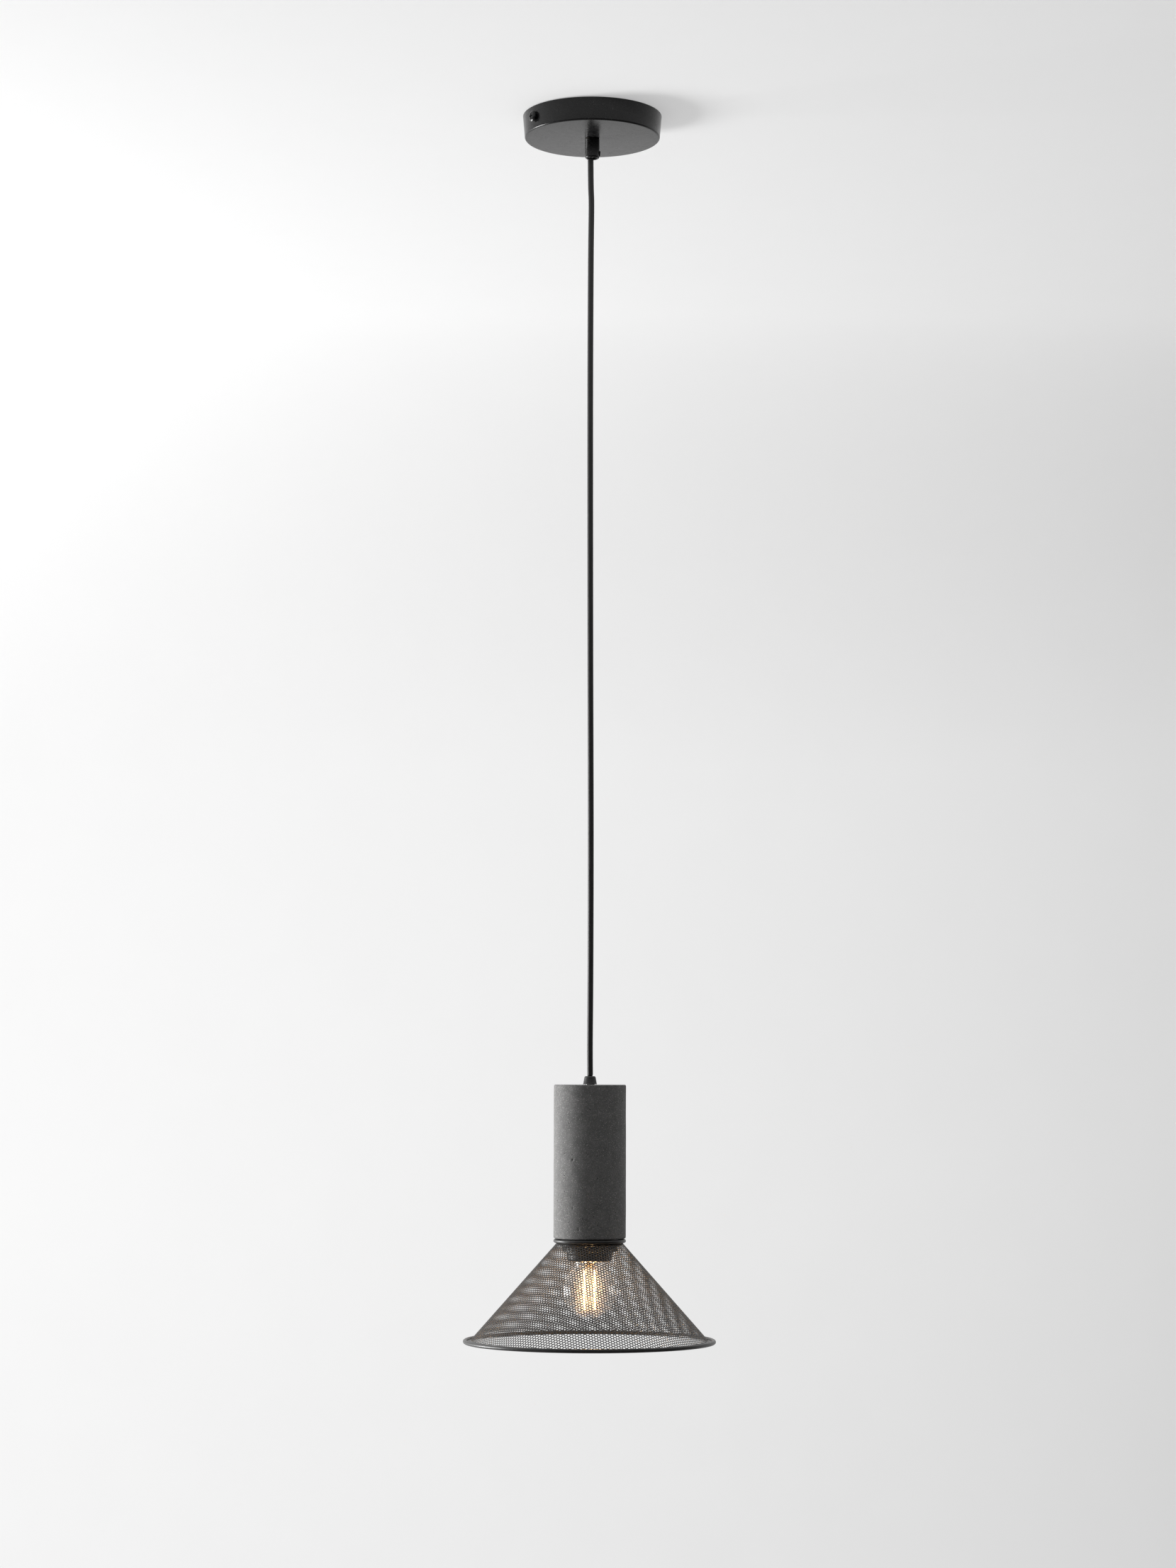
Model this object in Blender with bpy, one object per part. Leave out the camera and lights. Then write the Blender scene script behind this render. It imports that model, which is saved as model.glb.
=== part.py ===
"""Pendant ceiling light: canopy, cord, concrete lamp body, perforated cone shade and E27 globe bulb.

Frame: metres, +Z up, origin at the centre of the bracket's top face, which lies on the ceiling.
-Y is the front. Lengths below are in millimetres, and every builder scales them by MM.
Each object is one separate piece. A moving piece has its origin on its joint's axis.
"""

import math

import bmesh
import bpy
import numpy as np
from mathutils import Vector

MM = 0.001
GAP = 0.3  # clearance kept between pieces that touch on the real light
THREAD_GAP = 0.15  # clearance between a nut's smooth bore and its smooth bolt
FINE, MEDIUM, COARSE = 64, 36, 20  # steps around a turned piece

# Ceiling bracket and canopy
CANOPY_RADIUS = 60.0
CANOPY_FOOT_RADIUS = 58.5
CANOPY_HEIGHT = 20.0
CANOPY_EDGE = 1.4
CANOPY_SHEET = 0.8
CANOPY_RIM = -GAP
BRACKET_AZIMUTH = math.radians(32.5)  # the line through both side screws, from +X
BRACKET_SHEET = 2.0
BRACKET_WIDTH = 22.0
BRACKET_REACH = 55.5
BRACKET_EAR_FOOT = -16.0
CEILING_SLOT_AT = 33.0
CEILING_SLOT = (16.0, 5.2)
CABLE_HOLE_AT = 16.0
CABLE_HOLE_RADIUS = 4.5
SIDE_SCREW_LEVEL = -9.7
SIDE_SCREW_HEAD = (5.0, 4.2, 2.0)  # base radius, face radius, height
SIDE_SCREW_STANDOFF = 0.6  # the wall is curved and drafted, the head's seat is flat
SIDE_SCREW_SHANK = (1.9, 13.0)
SIDE_NUT = (7.0, 3.2)  # across flats, height
FORK_WIDTH = 4.6

# Cord grip under the canopy
GRIP_RADIUS = 6.25
GRIP_MOUTH = -37.4
GRIP_EDGE = 1.6
GRIP_BORE = 4.3
NIPPLE_RADIUS = 5.0
NIPPLE_FOOT = -24.5
NIPPLE_TOP = -12.5
NIPPLE_WASHER = (9.0, 1.0)  # radius, thickness
NIPPLE_NUT = (14.0, 3.0)  # across flats, height
SET_SCREW_LEVEL = GRIP_MOUTH + 4.2
SET_SCREW_HEAD = (2.5, 0.9)  # radius, height
SET_SCREW_SHANK = 1.3

# Cord
CORD_RADIUS = 2.5
CORD_LENGTH = 790.8  # from the grip's mouth to the strain relief's top
CORD_OFFSET = -1.4  # the set screw pushes the cord to this side of the grip's bore
PIVOT_CLEARANCE = 1.5
CORE_RADIUS = 0.95

# Concrete lamp body
RELIEF_TOP = GRIP_MOUTH - CORD_LENGTH
RELIEF_HEIGHT = 7.2
RELIEF_RADII = (4.85, 6.0)
RELIEF_EDGE = 1.5
RELIEF_CROWN = RELIEF_TOP - 3.0  # underside of its closed top
BODY_TOP = RELIEF_TOP - RELIEF_HEIGHT
BODY_RADIUS = 30.5
BODY_HEIGHT = 128.6
BODY_EDGE = 1.0
BODY_BORE = 22.0
BODY_ROOF = 14.0
BODY_FOOT = BODY_TOP - BODY_HEIGHT
TUBE_RADIUS = 4.0
TUBE_BORE = 2.9
TUBE_WASHER = (11.0, 1.5)  # radius, thickness
TUBE_NUT = (13.0, 4.0)  # across flats, height
LOCK_NUT = (13.0, 3.0)

# Lampholder, all levels measured from the concrete body's foot
HOLDER_RADIUS = 19.5
HOLDER_LIP = BODY_FOOT - 19.3
HOLDER_TOP = BODY_FOOT + 38.0
HOLDER_SPLIT = BODY_FOOT + 19.0
HOLDER_WALL = 2.4
HOLDER_SHOULDER = 10.5  # radius of the cap's rounded shoulder
HOLDER_LIP_EDGE = 3.0
INSULATOR_SEAT = HOLDER_SPLIT - 1.0
INSULATOR_SHEET = 4.2
SHELL_RADII = (13.7, 14.4)
SHELL_CROWN_RADIUS = 9.4
CONTACT_SHEET = 0.7
CONTACT_WIDTH = 5.0

# Cone shade
CONE_TOP = (28.9, BODY_FOOT - 4.0)
CONE_FOOT = (98.6, BODY_FOOT - 82.4)
CONE_SHEET = 0.5
NECK_BEAD = (28.9, BODY_FOOT - 2.1, 1.6)  # ring radius, level, wire radius
RIM_BEAD = (104.3, BODY_FOOT - 85.7, 1.7)
COLLAR_RADII = (20.6, 27.0)
COLLAR_LEVELS = (BODY_FOOT - 1.6, BODY_FOOT - 2.6)
SHADE_RING_RADII = (20.0, 22.8, 25.0)
SHADE_RING_LEVELS = (BODY_FOOT - 2.9, BODY_FOOT - 6.2, BODY_FOOT - 11.0)

# Globe bulb with an E27 cap
BULB_RADIUS = 22.5
BULB_GLASS = 0.8
BULB_CENTRE = BODY_FOOT - 43.5
BULB_TIP = BODY_FOOT + 11.7
BULB_NECK = 12.1
BULB_CAP_RADIUS = 13.0
BULB_CAP_TOP = BULB_TIP - 2.4
BULB_CAP_FOOT = BODY_FOOT - 15.2
BULB_CAP_SHEET = 0.4
STEM_FLANGE = (10.6, 1.5)  # radius, thickness
RING_WIRE = 0.4
FILAMENT_AT = 4.3
FILAMENT_RADIUS = 0.8
FILAMENT_LEVELS = (BODY_FOOT - 27.3, BODY_FOOT - 58.8)

# The cord's route, (x, z): it leaves the grip off centre and hangs almost straight.
CORD_ROUTE = (
    (CORD_OFFSET, GRIP_MOUTH - PIVOT_CLEARANCE),
    (0.4, -62.0),
    (0.9, -80.0),
    (0.3, -130.0),
    (-0.2, -250.0),
    (-0.1, -450.0),
    (0.3, -620.0),
    (0.0, -740.0),
    (-0.5, -800.0),
    (0.0, RELIEF_TOP + PIVOT_CLEARANCE),
)


# ---------------------------------------------------------------- materials and objects


def finish(name, colour, roughness, metallic=0.0):
    """A Principled material of one colour."""
    material = bpy.data.materials.get(name) or bpy.data.materials.new(name)
    material.use_nodes = True
    shader = material.node_tree.nodes["Principled BSDF"]
    shader.inputs["Base Color"].default_value = (*colour, 1.0)
    shader.inputs["Roughness"].default_value = roughness
    shader.inputs["Metallic"].default_value = metallic
    return material


def black_coat():
    return finish("black_powder_coat", (0.018, 0.018, 0.019), 0.55)


def steel():
    return finish("zinc_plated_steel", (0.62, 0.63, 0.64), 0.35, 1.0)


def brass():
    return finish("brass", (0.72, 0.53, 0.25), 0.3, 1.0)


def clear_glass():
    return finish("clear_glass", (0.9, 0.92, 0.92), 0.05)


def black_plastic():
    return finish("black_plastic", (0.02, 0.02, 0.021), 0.4)


def place(name, shape, material, origin=(0.0, 0.0, 0.0)):
    """An object from a closed bmesh drawn in millimetres around its own origin."""
    bmesh.ops.remove_doubles(shape, verts=shape.verts, dist=1e-4)
    bmesh.ops.recalc_face_normals(shape, faces=shape.faces)
    bmesh.ops.scale(shape, vec=(MM, MM, MM), verts=shape.verts)
    mesh = bpy.data.meshes.new(name)
    shape.to_mesh(mesh)
    shape.free()
    mesh.shade_smooth()
    mesh.set_sharp_from_angle(angle=math.radians(35))
    mesh.materials.append(material)
    item = bpy.data.objects.new(name, mesh)
    item.location = Vector(origin) * MM
    bpy.context.scene.collection.objects.link(item)
    return item


def cut(item, cutter):
    """Cuts one closed object out of another and keeps the cutter as a hidden helper."""
    cutter.hide_render = True
    cutter.display_type = "WIRE"
    modifier = item.modifiers.new(f"cut_{cutter.name}", "BOOLEAN")
    modifier.operation = "DIFFERENCE"
    modifier.solver = "EXACT"
    modifier.object = cutter


def aim(item, direction):
    """Turns an object so that its local +Z points along a direction."""
    item.rotation_euler = Vector(direction).to_track_quat("Z", "Y").to_euler()
    return item


# ---------------------------------------------------------------- shapes


def arc(centre, radius, start, stop, steps):
    """Points (radius, level) of a circular arc in a turned outline, angles in degrees."""
    angles = np.radians(np.linspace(start, stop, steps + 1))
    return [(centre[0] + radius * math.cos(a), centre[1] + radius * math.sin(a)) for a in angles]


def turned(outline, segments=MEDIUM):
    """A turned solid. An outline whose two ends lie on the axis stays open, any other is closed."""
    shape = bmesh.new()
    points = [shape.verts.new((radius, 0.0, level)) for radius, level in outline]
    edges = [shape.edges.new(pair) for pair in zip(points, points[1:])]
    if outline[0][0] > 0.0 or outline[-1][0] > 0.0:
        edges.append(shape.edges.new((points[-1], points[0])))
    bmesh.ops.spin(
        shape,
        geom=points + edges,
        cent=(0.0, 0.0, 0.0),
        axis=(0.0, 0.0, 1.0),
        angle=math.tau,
        steps=segments,
        use_merge=True,
    )
    return shape


def ring_outline(inner, outer, top, bottom):
    """Outline of a plain ring."""
    return [(outer, top), (outer, bottom), (inner, bottom), (inner, top)]


def rod_outline(radius, top, bottom):
    """Outline of a plain rod, open along its axis."""
    return [(0.0, top), (radius, top), (radius, bottom), (0.0, bottom)]


def hex_nut(across_flats, height, bore, steps=24):
    """A hexagonal nut from level 0 up, with a round bore."""
    shape = bmesh.new()
    loops = []
    for level in (0.0, height):
        for bored in (False, True):
            loop = []
            for i in range(steps):
                angle = math.tau * i / steps
                to_flat = (angle + math.pi / 6) % (math.pi / 3) - math.pi / 6
                reach = bore if bored else across_flats / 2 / math.cos(to_flat)
                loop.append(shape.verts.new((reach * math.cos(angle), reach * math.sin(angle), level)))
            loops.append(loop)
    low_out, low_in, high_out, high_in = loops
    for near, far in ((low_out, high_out), (high_out, high_in), (high_in, low_in), (low_in, low_out)):
        for i in range(steps):
            j = (i + 1) % steps
            shape.faces.new((near[i], near[j], far[j], far[i]))
    return shape


def prism(outline, low, high, axis="Y"):
    """A flat outline pushed out along Y or Z between two distances."""
    shape = bmesh.new()
    if axis == "Y":
        loop = [shape.verts.new((u, low, v)) for u, v in outline]
        push = (0.0, high - low, 0.0)
    else:
        loop = [shape.verts.new((u, v, low)) for u, v in outline]
        push = (0.0, 0.0, high - low)
    face = shape.faces.new(loop)
    pushed = bmesh.ops.extrude_face_region(shape, geom=[face])["geom"]
    moved = [v for v in pushed if isinstance(v, bmesh.types.BMVert)]
    bmesh.ops.translate(shape, vec=push, verts=moved)
    return shape


def slot_outline(length, width, centre=(0.0, 0.0), steps=8):
    """A straight slot with round ends, along the first direction."""
    half, radius = (length - width) / 2, width / 2
    right = arc((centre[0] + half, centre[1]), radius, -90, 90, steps)
    left = arc((centre[0] - half, centre[1]), radius, 90, 270, steps)
    return right + left


def smooth_route(points, count):
    """Evenly spaced points on a Catmull-Rom curve through the route's own points."""
    route = np.array(points, dtype=float)
    route = np.vstack([2 * route[0] - route[1], route, 2 * route[-1] - route[-2]])
    fine = []
    for a, b, c, d in zip(route, route[1:], route[2:], route[3:]):
        for t in np.linspace(0.0, 1.0, 24, endpoint=False):
            fine.append(0.5 * (2 * b + (c - a) * t + (2 * a - 5 * b + 4 * c - d) * t**2
                               + (3 * b - a - 3 * c + d) * t**3))
    fine = np.array(fine + [route[-2]])
    along = np.concatenate([[0.0], np.cumsum(np.linalg.norm(np.diff(fine, axis=0), axis=1))])
    at = np.linspace(0.0, along[-1], count)
    return np.stack([np.interp(at, along, fine[:, k]) for k in range(3)], axis=1)


def cable(name, points, radius, material, radii=None, origin=(0.0, 0.0, 0.0), resolution=2):
    """A round cable along points, as a bevelled curve with filled caps."""
    data = bpy.data.curves.new(name, "CURVE")
    data.dimensions = "3D"
    data.bevel_depth = radius * MM
    data.bevel_resolution = resolution
    data.use_fill_caps = True
    spline = data.splines.new("POLY")
    spline.points.add(len(points) - 1)
    for i, (point, place_at) in enumerate(zip(spline.points, points)):
        point.co = (*((Vector(place_at) - Vector(origin)) * MM), 1.0)
        point.radius = radii[i] if radii else 1.0
    data.materials.append(material)
    item = bpy.data.objects.new(name, data)
    item.location = Vector(origin) * MM
    bpy.context.scene.collection.objects.link(item)
    return item


def screw_direction(side):
    """Outward direction of the side screw at the front left (-1) or the back right (+1)."""
    return Vector((math.cos(BRACKET_AZIMUTH), math.sin(BRACKET_AZIMUTH), 0.0)) * side


# ---------------------------------------------------------------- ceiling bracket and canopy


def build_bracket():
    """Steel strap on the ceiling, its two ears bent down and forked for the side screws."""
    reach, sheet, foot = BRACKET_REACH, BRACKET_SHEET, BRACKET_EAR_FOOT
    outline = [(-reach, 0.0), (reach, 0.0), (reach, foot), (reach - sheet, foot),
               (reach - sheet, -sheet), (sheet - reach, -sheet), (sheet - reach, foot), (-reach, foot)]
    strap = place("ceiling_bracket", prism(outline, -BRACKET_WIDTH / 2, BRACKET_WIDTH / 2), steel())
    strap.rotation_euler.z = BRACKET_AZIMUTH
    through = (-2 * sheet, sheet)
    for side in (-1, 1):
        slot = slot_outline(*CEILING_SLOT, centre=(side * CEILING_SLOT_AT, 0.0))
        helper = place(f"slot_cutter_{side}", prism(slot, *through, axis="Z"), steel())
        helper.rotation_euler.z = BRACKET_AZIMUTH
        cut(strap, helper)
        cable_hole = arc((side * CABLE_HOLE_AT, 0.0), CABLE_HOLE_RADIUS, 0, 345, 23)
        helper = place(f"cable_cutter_{side}", prism(cable_hole, *through, axis="Z"), steel())
        helper.rotation_euler.z = BRACKET_AZIMUTH
        cut(strap, helper)
    round_top = arc((0.0, SIDE_SCREW_LEVEL), FORK_WIDTH / 2, 180, 0, 10)
    fork = [(FORK_WIDTH / 2, foot - sheet), (-FORK_WIDTH / 2, foot - sheet)] + round_top
    helper = place("fork_cutter", prism(fork, -reach - sheet, reach + sheet), steel())
    helper.rotation_euler.z = BRACKET_AZIMUTH + math.pi / 2
    cut(strap, helper)
    return strap


def build_canopy():
    """Shallow spun cup that closes against the ceiling, with the cord hole and two screw holes."""
    foot, sheet, edge = -CANOPY_HEIGHT, CANOPY_SHEET, CANOPY_EDGE
    outline = [(CANOPY_RADIUS, CANOPY_RIM)]
    outline += arc((CANOPY_FOOT_RADIUS - edge, foot + edge), edge, 0, -90, 3)
    outline += [(NIPPLE_RADIUS + GAP, foot), (NIPPLE_RADIUS + GAP, foot + sheet)]
    outline += arc((CANOPY_FOOT_RADIUS - edge, foot + edge), edge - sheet, -90, 0, 2)
    outline += [(CANOPY_RADIUS - sheet, CANOPY_RIM)]
    cover = place("canopy_cover", turned(outline, FINE), black_coat())
    reach = 10 * sheet
    for side in (-1, 1):
        hole = turned(rod_outline(SIDE_SCREW_SHANK[0] + GAP, reach, -reach), COARSE)
        at = screw_direction(side) * CANOPY_RADIUS + Vector((0.0, 0.0, SIDE_SCREW_LEVEL))
        cutter = place(f"screw_hole_cutter_{side}", hole, black_coat(), at)
        cut(cover, aim(cutter, screw_direction(side)))
    return cover


def build_side_screw(name, side):
    """Pan-head screw that clamps the canopy to one ear of the bracket."""
    base, face, height = SIDE_SCREW_HEAD
    shank, length = SIDE_SCREW_SHANK
    outline = [(0.0, height), (face, height), (base - 0.2, 0.45 * height), (base, 0.2 * height)]
    outline += [(base, 0.0), (shank, 0.0), (shank, -length), (0.0, -length)]
    wall = CANOPY_RADIUS + (CANOPY_RADIUS - CANOPY_FOOT_RADIUS) * SIDE_SCREW_LEVEL / CANOPY_HEIGHT
    at = screw_direction(side) * (wall + SIDE_SCREW_STANDOFF) + Vector((0.0, 0.0, SIDE_SCREW_LEVEL))
    return aim(place(name, turned(outline, COARSE), black_coat(), at), screw_direction(side))


def build_side_nut(name, side):
    """Captive nut behind the bracket's ear."""
    shape = hex_nut(*SIDE_NUT, SIDE_SCREW_SHANK[0] + THREAD_GAP)
    inner_face = BRACKET_REACH - BRACKET_SHEET - GAP
    at = screw_direction(side) * inner_face + Vector((0.0, 0.0, SIDE_SCREW_LEVEL))
    return aim(place(name, shape, steel(), at), -screw_direction(side))


# ---------------------------------------------------------------- cord grip


def build_grip():
    """Plain cylindrical grip with a rounded foot, bored for the cord and tapped for its set screw."""
    top, mouth, edge = -CANOPY_HEIGHT - GAP, GRIP_MOUTH, GRIP_EDGE
    outline = [(GRIP_RADIUS, top)]
    outline += arc((GRIP_RADIUS - edge, mouth + edge), edge, 0, -90, 4)
    outline += [(GRIP_BORE, mouth), (GRIP_BORE, NIPPLE_FOOT - GAP)]
    outline += [(NIPPLE_RADIUS + GAP, NIPPLE_FOOT - GAP), (NIPPLE_RADIUS + GAP, top)]
    grip = place("cord_grip", turned(outline), black_coat())
    hole = turned(rod_outline(SET_SCREW_SHANK + GAP, GRIP_EDGE, -0.9 * GRIP_BORE), COARSE)
    cutter = place("set_screw_cutter", hole, black_coat(), (GRIP_RADIUS, 0.0, SET_SCREW_LEVEL))
    cut(grip, aim(cutter, (1.0, 0.0, 0.0)))
    return grip


def build_set_screw():
    """Small screw that presses the cord against the far side of the grip's bore."""
    head, proud = SET_SCREW_HEAD
    tip = CORD_OFFSET + CORD_RADIUS + GAP - GRIP_RADIUS
    outline = [(0.0, proud), (head - 0.4, proud), (head, proud - 0.4), (head, 0.35)]
    outline += [(SET_SCREW_SHANK, 0.35), (SET_SCREW_SHANK, tip), (0.0, tip)]
    screw = place("set_screw", turned(outline, COARSE), black_coat(), (GRIP_RADIUS, 0.0, SET_SCREW_LEVEL))
    return aim(screw, (1.0, 0.0, 0.0))


def build_nipple():
    """Hollow threaded nipple that joins the grip to the canopy, with its washer and nut."""
    floor = CANOPY_SHEET - CANOPY_HEIGHT + GAP
    nipple = ring_outline(GRIP_BORE, NIPPLE_RADIUS, NIPPLE_TOP, NIPPLE_FOOT)
    place("grip_nipple", turned(nipple), brass())
    washer_radius, washer_sheet = NIPPLE_WASHER
    washer = ring_outline(NIPPLE_RADIUS + GAP, washer_radius, floor + washer_sheet, floor)
    place("nipple_washer", turned(washer), steel())
    nut = hex_nut(*NIPPLE_NUT, NIPPLE_RADIUS + THREAD_GAP)
    place("nipple_nut", nut, brass(), (0.0, 0.0, floor + washer_sheet + GAP))


# ---------------------------------------------------------------- wiring in the canopy

BLOCK_CENTRE = Vector((-16.5, 22.5, -9.4))
BLOCK_SIZE = (20.0, 15.0, 9.0)  # across both poles, along the wires, height
POLE_SPACING = 10.0
POLE_BORE = 2.8
POLE_TUBE = (1.7, 2.5)


def pole_centre(pole):
    return BLOCK_CENTRE + Vector((pole * POLE_SPACING / 2, 0.0, 0.0))


def build_terminal_block():
    """Two-pole connector: a plastic housing with a brass tube in each bore."""
    width, depth, height = (size / 2 for size in BLOCK_SIZE)
    outline = [(-width, -depth), (width, -depth), (width, depth), (-width, depth)]
    housing = place("terminal_block", prism(outline, -height, height, axis="Z"),
                    finish("natural_nylon", (0.78, 0.77, 0.72), 0.4), BLOCK_CENTRE)
    for pole in (-1, 1):
        bore = turned(rod_outline(POLE_BORE, width, -width), COARSE)
        cutter = place(f"pole_cutter_{pole}", bore, brass(), pole_centre(pole))
        cut(housing, aim(cutter, (0.0, 1.0, 0.0)))
        tube = turned(ring_outline(*POLE_TUBE, depth - 1.0, 1.0 - depth), COARSE)
        name = "terminal_tube_live" if pole > 0 else "terminal_tube_neutral"
        aim(place(name, tube, brass(), pole_centre(pole)), (0.0, 1.0, 0.0))


def build_cores():
    """The cord's two insulated cores, from its stripped end over to the terminal block."""
    start = Vector((CORD_OFFSET, 0.0, NIPPLE_TOP + GAP))
    colours = {1: ("core_live", (0.22, 0.09, 0.04)), -1: ("core_neutral", (0.03, 0.12, 0.42))}
    for pole, (name, colour) in colours.items():
        goal = pole_centre(pole)
        mouth = goal - Vector((0.0, BLOCK_SIZE[1] / 2, 0.0))
        route = (
            start + Vector((pole * 1.3, 0.0, 0.0)),
            start + Vector((pole * 1.6 - 0.4, 1.2, 2.6)),
            start.lerp(mouth, 0.5) + Vector((pole * 1.5, 0.0, 3.0)),
            mouth - Vector((0.0, 2.5, 0.0)),
            goal - Vector((0.0, 2.5, 0.0)),
        )
        cable(name, smooth_route(route, 14), CORE_RADIUS, finish(name, colour, 0.45))


# ---------------------------------------------------------------- cord


def black_cord():
    return finish("black_cord", (0.022, 0.021, 0.021), 0.6)


def build_cord():
    """The visible cord, with a round end centred on each of its two pivots."""
    route = smooth_route([(x, 0.0, z) for x, z in CORD_ROUTE], 66)
    dome = np.radians([80.0, 55.0, 28.0])
    above = [route[0] + (0.0, 0.0, CORD_RADIUS * math.sin(a)) for a in dome]
    below = [route[-1] - (0.0, 0.0, CORD_RADIUS * math.sin(a)) for a in dome[::-1]]
    radii = [math.cos(a) for a in dome]
    points = np.vstack([above, route, below])
    weights = radii + [1.0] * len(route) + radii[::-1]
    cable("cord", points, CORD_RADIUS, black_cord(), weights, origin=route[0])


def build_cord_stubs():
    """The cord's hidden ends: through the grip into the canopy, and down the tube to the lampholder."""
    foot = GRIP_MOUTH - PIVOT_CLEARANCE + CORD_RADIUS + GAP
    upper = [(CORD_OFFSET, 0.0, level) for level in np.linspace(foot, NIPPLE_TOP - GAP, 4)]
    cable("cord_upper_end", upper, CORD_RADIUS, black_cord())
    top = RELIEF_TOP + PIVOT_CLEARANCE - CORD_RADIUS - GAP
    lower = [(0.0, 0.0, level) for level in np.linspace(top, HOLDER_TOP - 6.0, 8)]
    cable("cord_lower_end", lower, CORD_RADIUS, black_cord())


# ---------------------------------------------------------------- concrete lamp body


def build_relief():
    """Tapered strain relief with a rounded top, screwed on the hanger tube's upper end."""
    top_radius, foot_radius = RELIEF_RADII
    edge = RELIEF_EDGE
    outline = arc((top_radius - edge, RELIEF_TOP - edge), edge, 90, 10, 4)
    outline += [(foot_radius, BODY_TOP + GAP), (TUBE_RADIUS + GAP, BODY_TOP + GAP)]
    outline += [(TUBE_RADIUS + GAP, RELIEF_CROWN), (TUBE_BORE, RELIEF_CROWN), (TUBE_BORE, RELIEF_TOP)]
    place("strain_relief", turned(outline), black_plastic())


def build_concrete():
    """Cast cylinder with a blind bore from below and a hole for the hanger tube."""
    edge, roof = BODY_EDGE, BODY_TOP - BODY_ROOF
    outline = arc((BODY_RADIUS - edge, BODY_TOP - edge), edge, 90, 0, 3)
    outline += arc((BODY_RADIUS - edge, BODY_FOOT + edge), edge, 0, -90, 3)
    outline += [(BODY_BORE, BODY_FOOT), (BODY_BORE, roof), (TUBE_RADIUS + GAP, roof)]
    outline += [(TUBE_RADIUS + GAP, BODY_TOP)]
    place("concrete_body", turned(outline, FINE), finish("dark_concrete", (0.1, 0.1, 0.1), 0.85))


def build_hanger():
    """Threaded tube that carries the lampholder, with the washer and nut under the concrete's roof."""
    tube = ring_outline(TUBE_BORE, TUBE_RADIUS, RELIEF_CROWN - GAP, HOLDER_TOP - 7.0)
    place("hanger_tube", turned(tube, COARSE), steel())
    roof = BODY_TOP - BODY_ROOF - GAP
    washer_radius, washer_sheet = TUBE_WASHER
    washer = ring_outline(TUBE_RADIUS + GAP, washer_radius, roof, roof - washer_sheet)
    place("tube_washer", turned(washer), steel())
    nut = hex_nut(*TUBE_NUT, TUBE_RADIUS + THREAD_GAP)
    place("tube_nut", nut, steel(), (0.0, 0.0, roof - washer_sheet - GAP - TUBE_NUT[1]))
    lock_nut = hex_nut(*LOCK_NUT, TUBE_RADIUS + THREAD_GAP)
    place("holder_lock_nut", lock_nut, steel(), (0.0, 0.0, HOLDER_TOP + GAP))


def build_holder():
    """E27 lampholder: a cap over a skirt with a rounded lip."""
    wall, split, lip = HOLDER_WALL, HOLDER_SPLIT, HOLDER_LIP_EDGE
    shoulder = (HOLDER_RADIUS - HOLDER_SHOULDER, HOLDER_TOP - HOLDER_SHOULDER)
    cap = [(shoulder[0], HOLDER_TOP)] + arc(shoulder, HOLDER_SHOULDER, 80, 0, 5)
    cap += [(HOLDER_RADIUS, split + GAP), (HOLDER_RADIUS - wall, split + GAP)]
    cap += arc(shoulder, HOLDER_SHOULDER - wall, 0, 90, 4)
    cap += [(TUBE_RADIUS + GAP, HOLDER_TOP - wall), (TUBE_RADIUS + GAP, HOLDER_TOP)]
    place("holder_cap", turned(cap), black_plastic())
    mouth = SHELL_RADII[1] + GAP
    skirt = [(HOLDER_RADIUS, split)] + arc((HOLDER_RADIUS - lip, HOLDER_LIP + lip), lip, 0, -90, 5)
    skirt += [(mouth, HOLDER_LIP), (mouth, HOLDER_LIP + 4.0)]
    skirt += [(HOLDER_RADIUS - wall, HOLDER_LIP + 7.0), (HOLDER_RADIUS - wall, split)]
    place("holder_skirt", turned(skirt), black_plastic())


def build_holder_contacts():
    """The lampholder's insulator, screw shell and centre contact."""
    top, foot = INSULATOR_SEAT, INSULATOR_SEAT - INSULATOR_SHEET
    disc = rod_outline(HOLDER_RADIUS - HOLDER_WALL - GAP, top, foot)
    place("holder_insulator", turned(disc), finish("white_ceramic", (0.82, 0.81, 0.78), 0.5))
    inner, outer = SHELL_RADII
    crown, sheet = foot - GAP, CONTACT_SHEET
    shell = [(outer, crown), (outer, HOLDER_LIP + 1.5), (inner, HOLDER_LIP + 1.5)]
    shell += [(inner, crown - sheet), (SHELL_CROWN_RADIUS, crown - sheet), (SHELL_CROWN_RADIUS, crown)]
    place("holder_screw_shell", turned(shell), brass())
    tongue = crown - 0.9  # the leaf's tongue is bent down to meet the bulb's tip
    leaf = [(-7.0, crown), (-5.6, crown), (-5.6, tongue), (4.5, tongue)]
    leaf += [(4.5, tongue - sheet), (-7.0, tongue - sheet)]
    place("holder_centre_contact", prism(leaf, -CONTACT_WIDTH / 2, CONTACT_WIDTH / 2), brass())


# ---------------------------------------------------------------- shade


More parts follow.
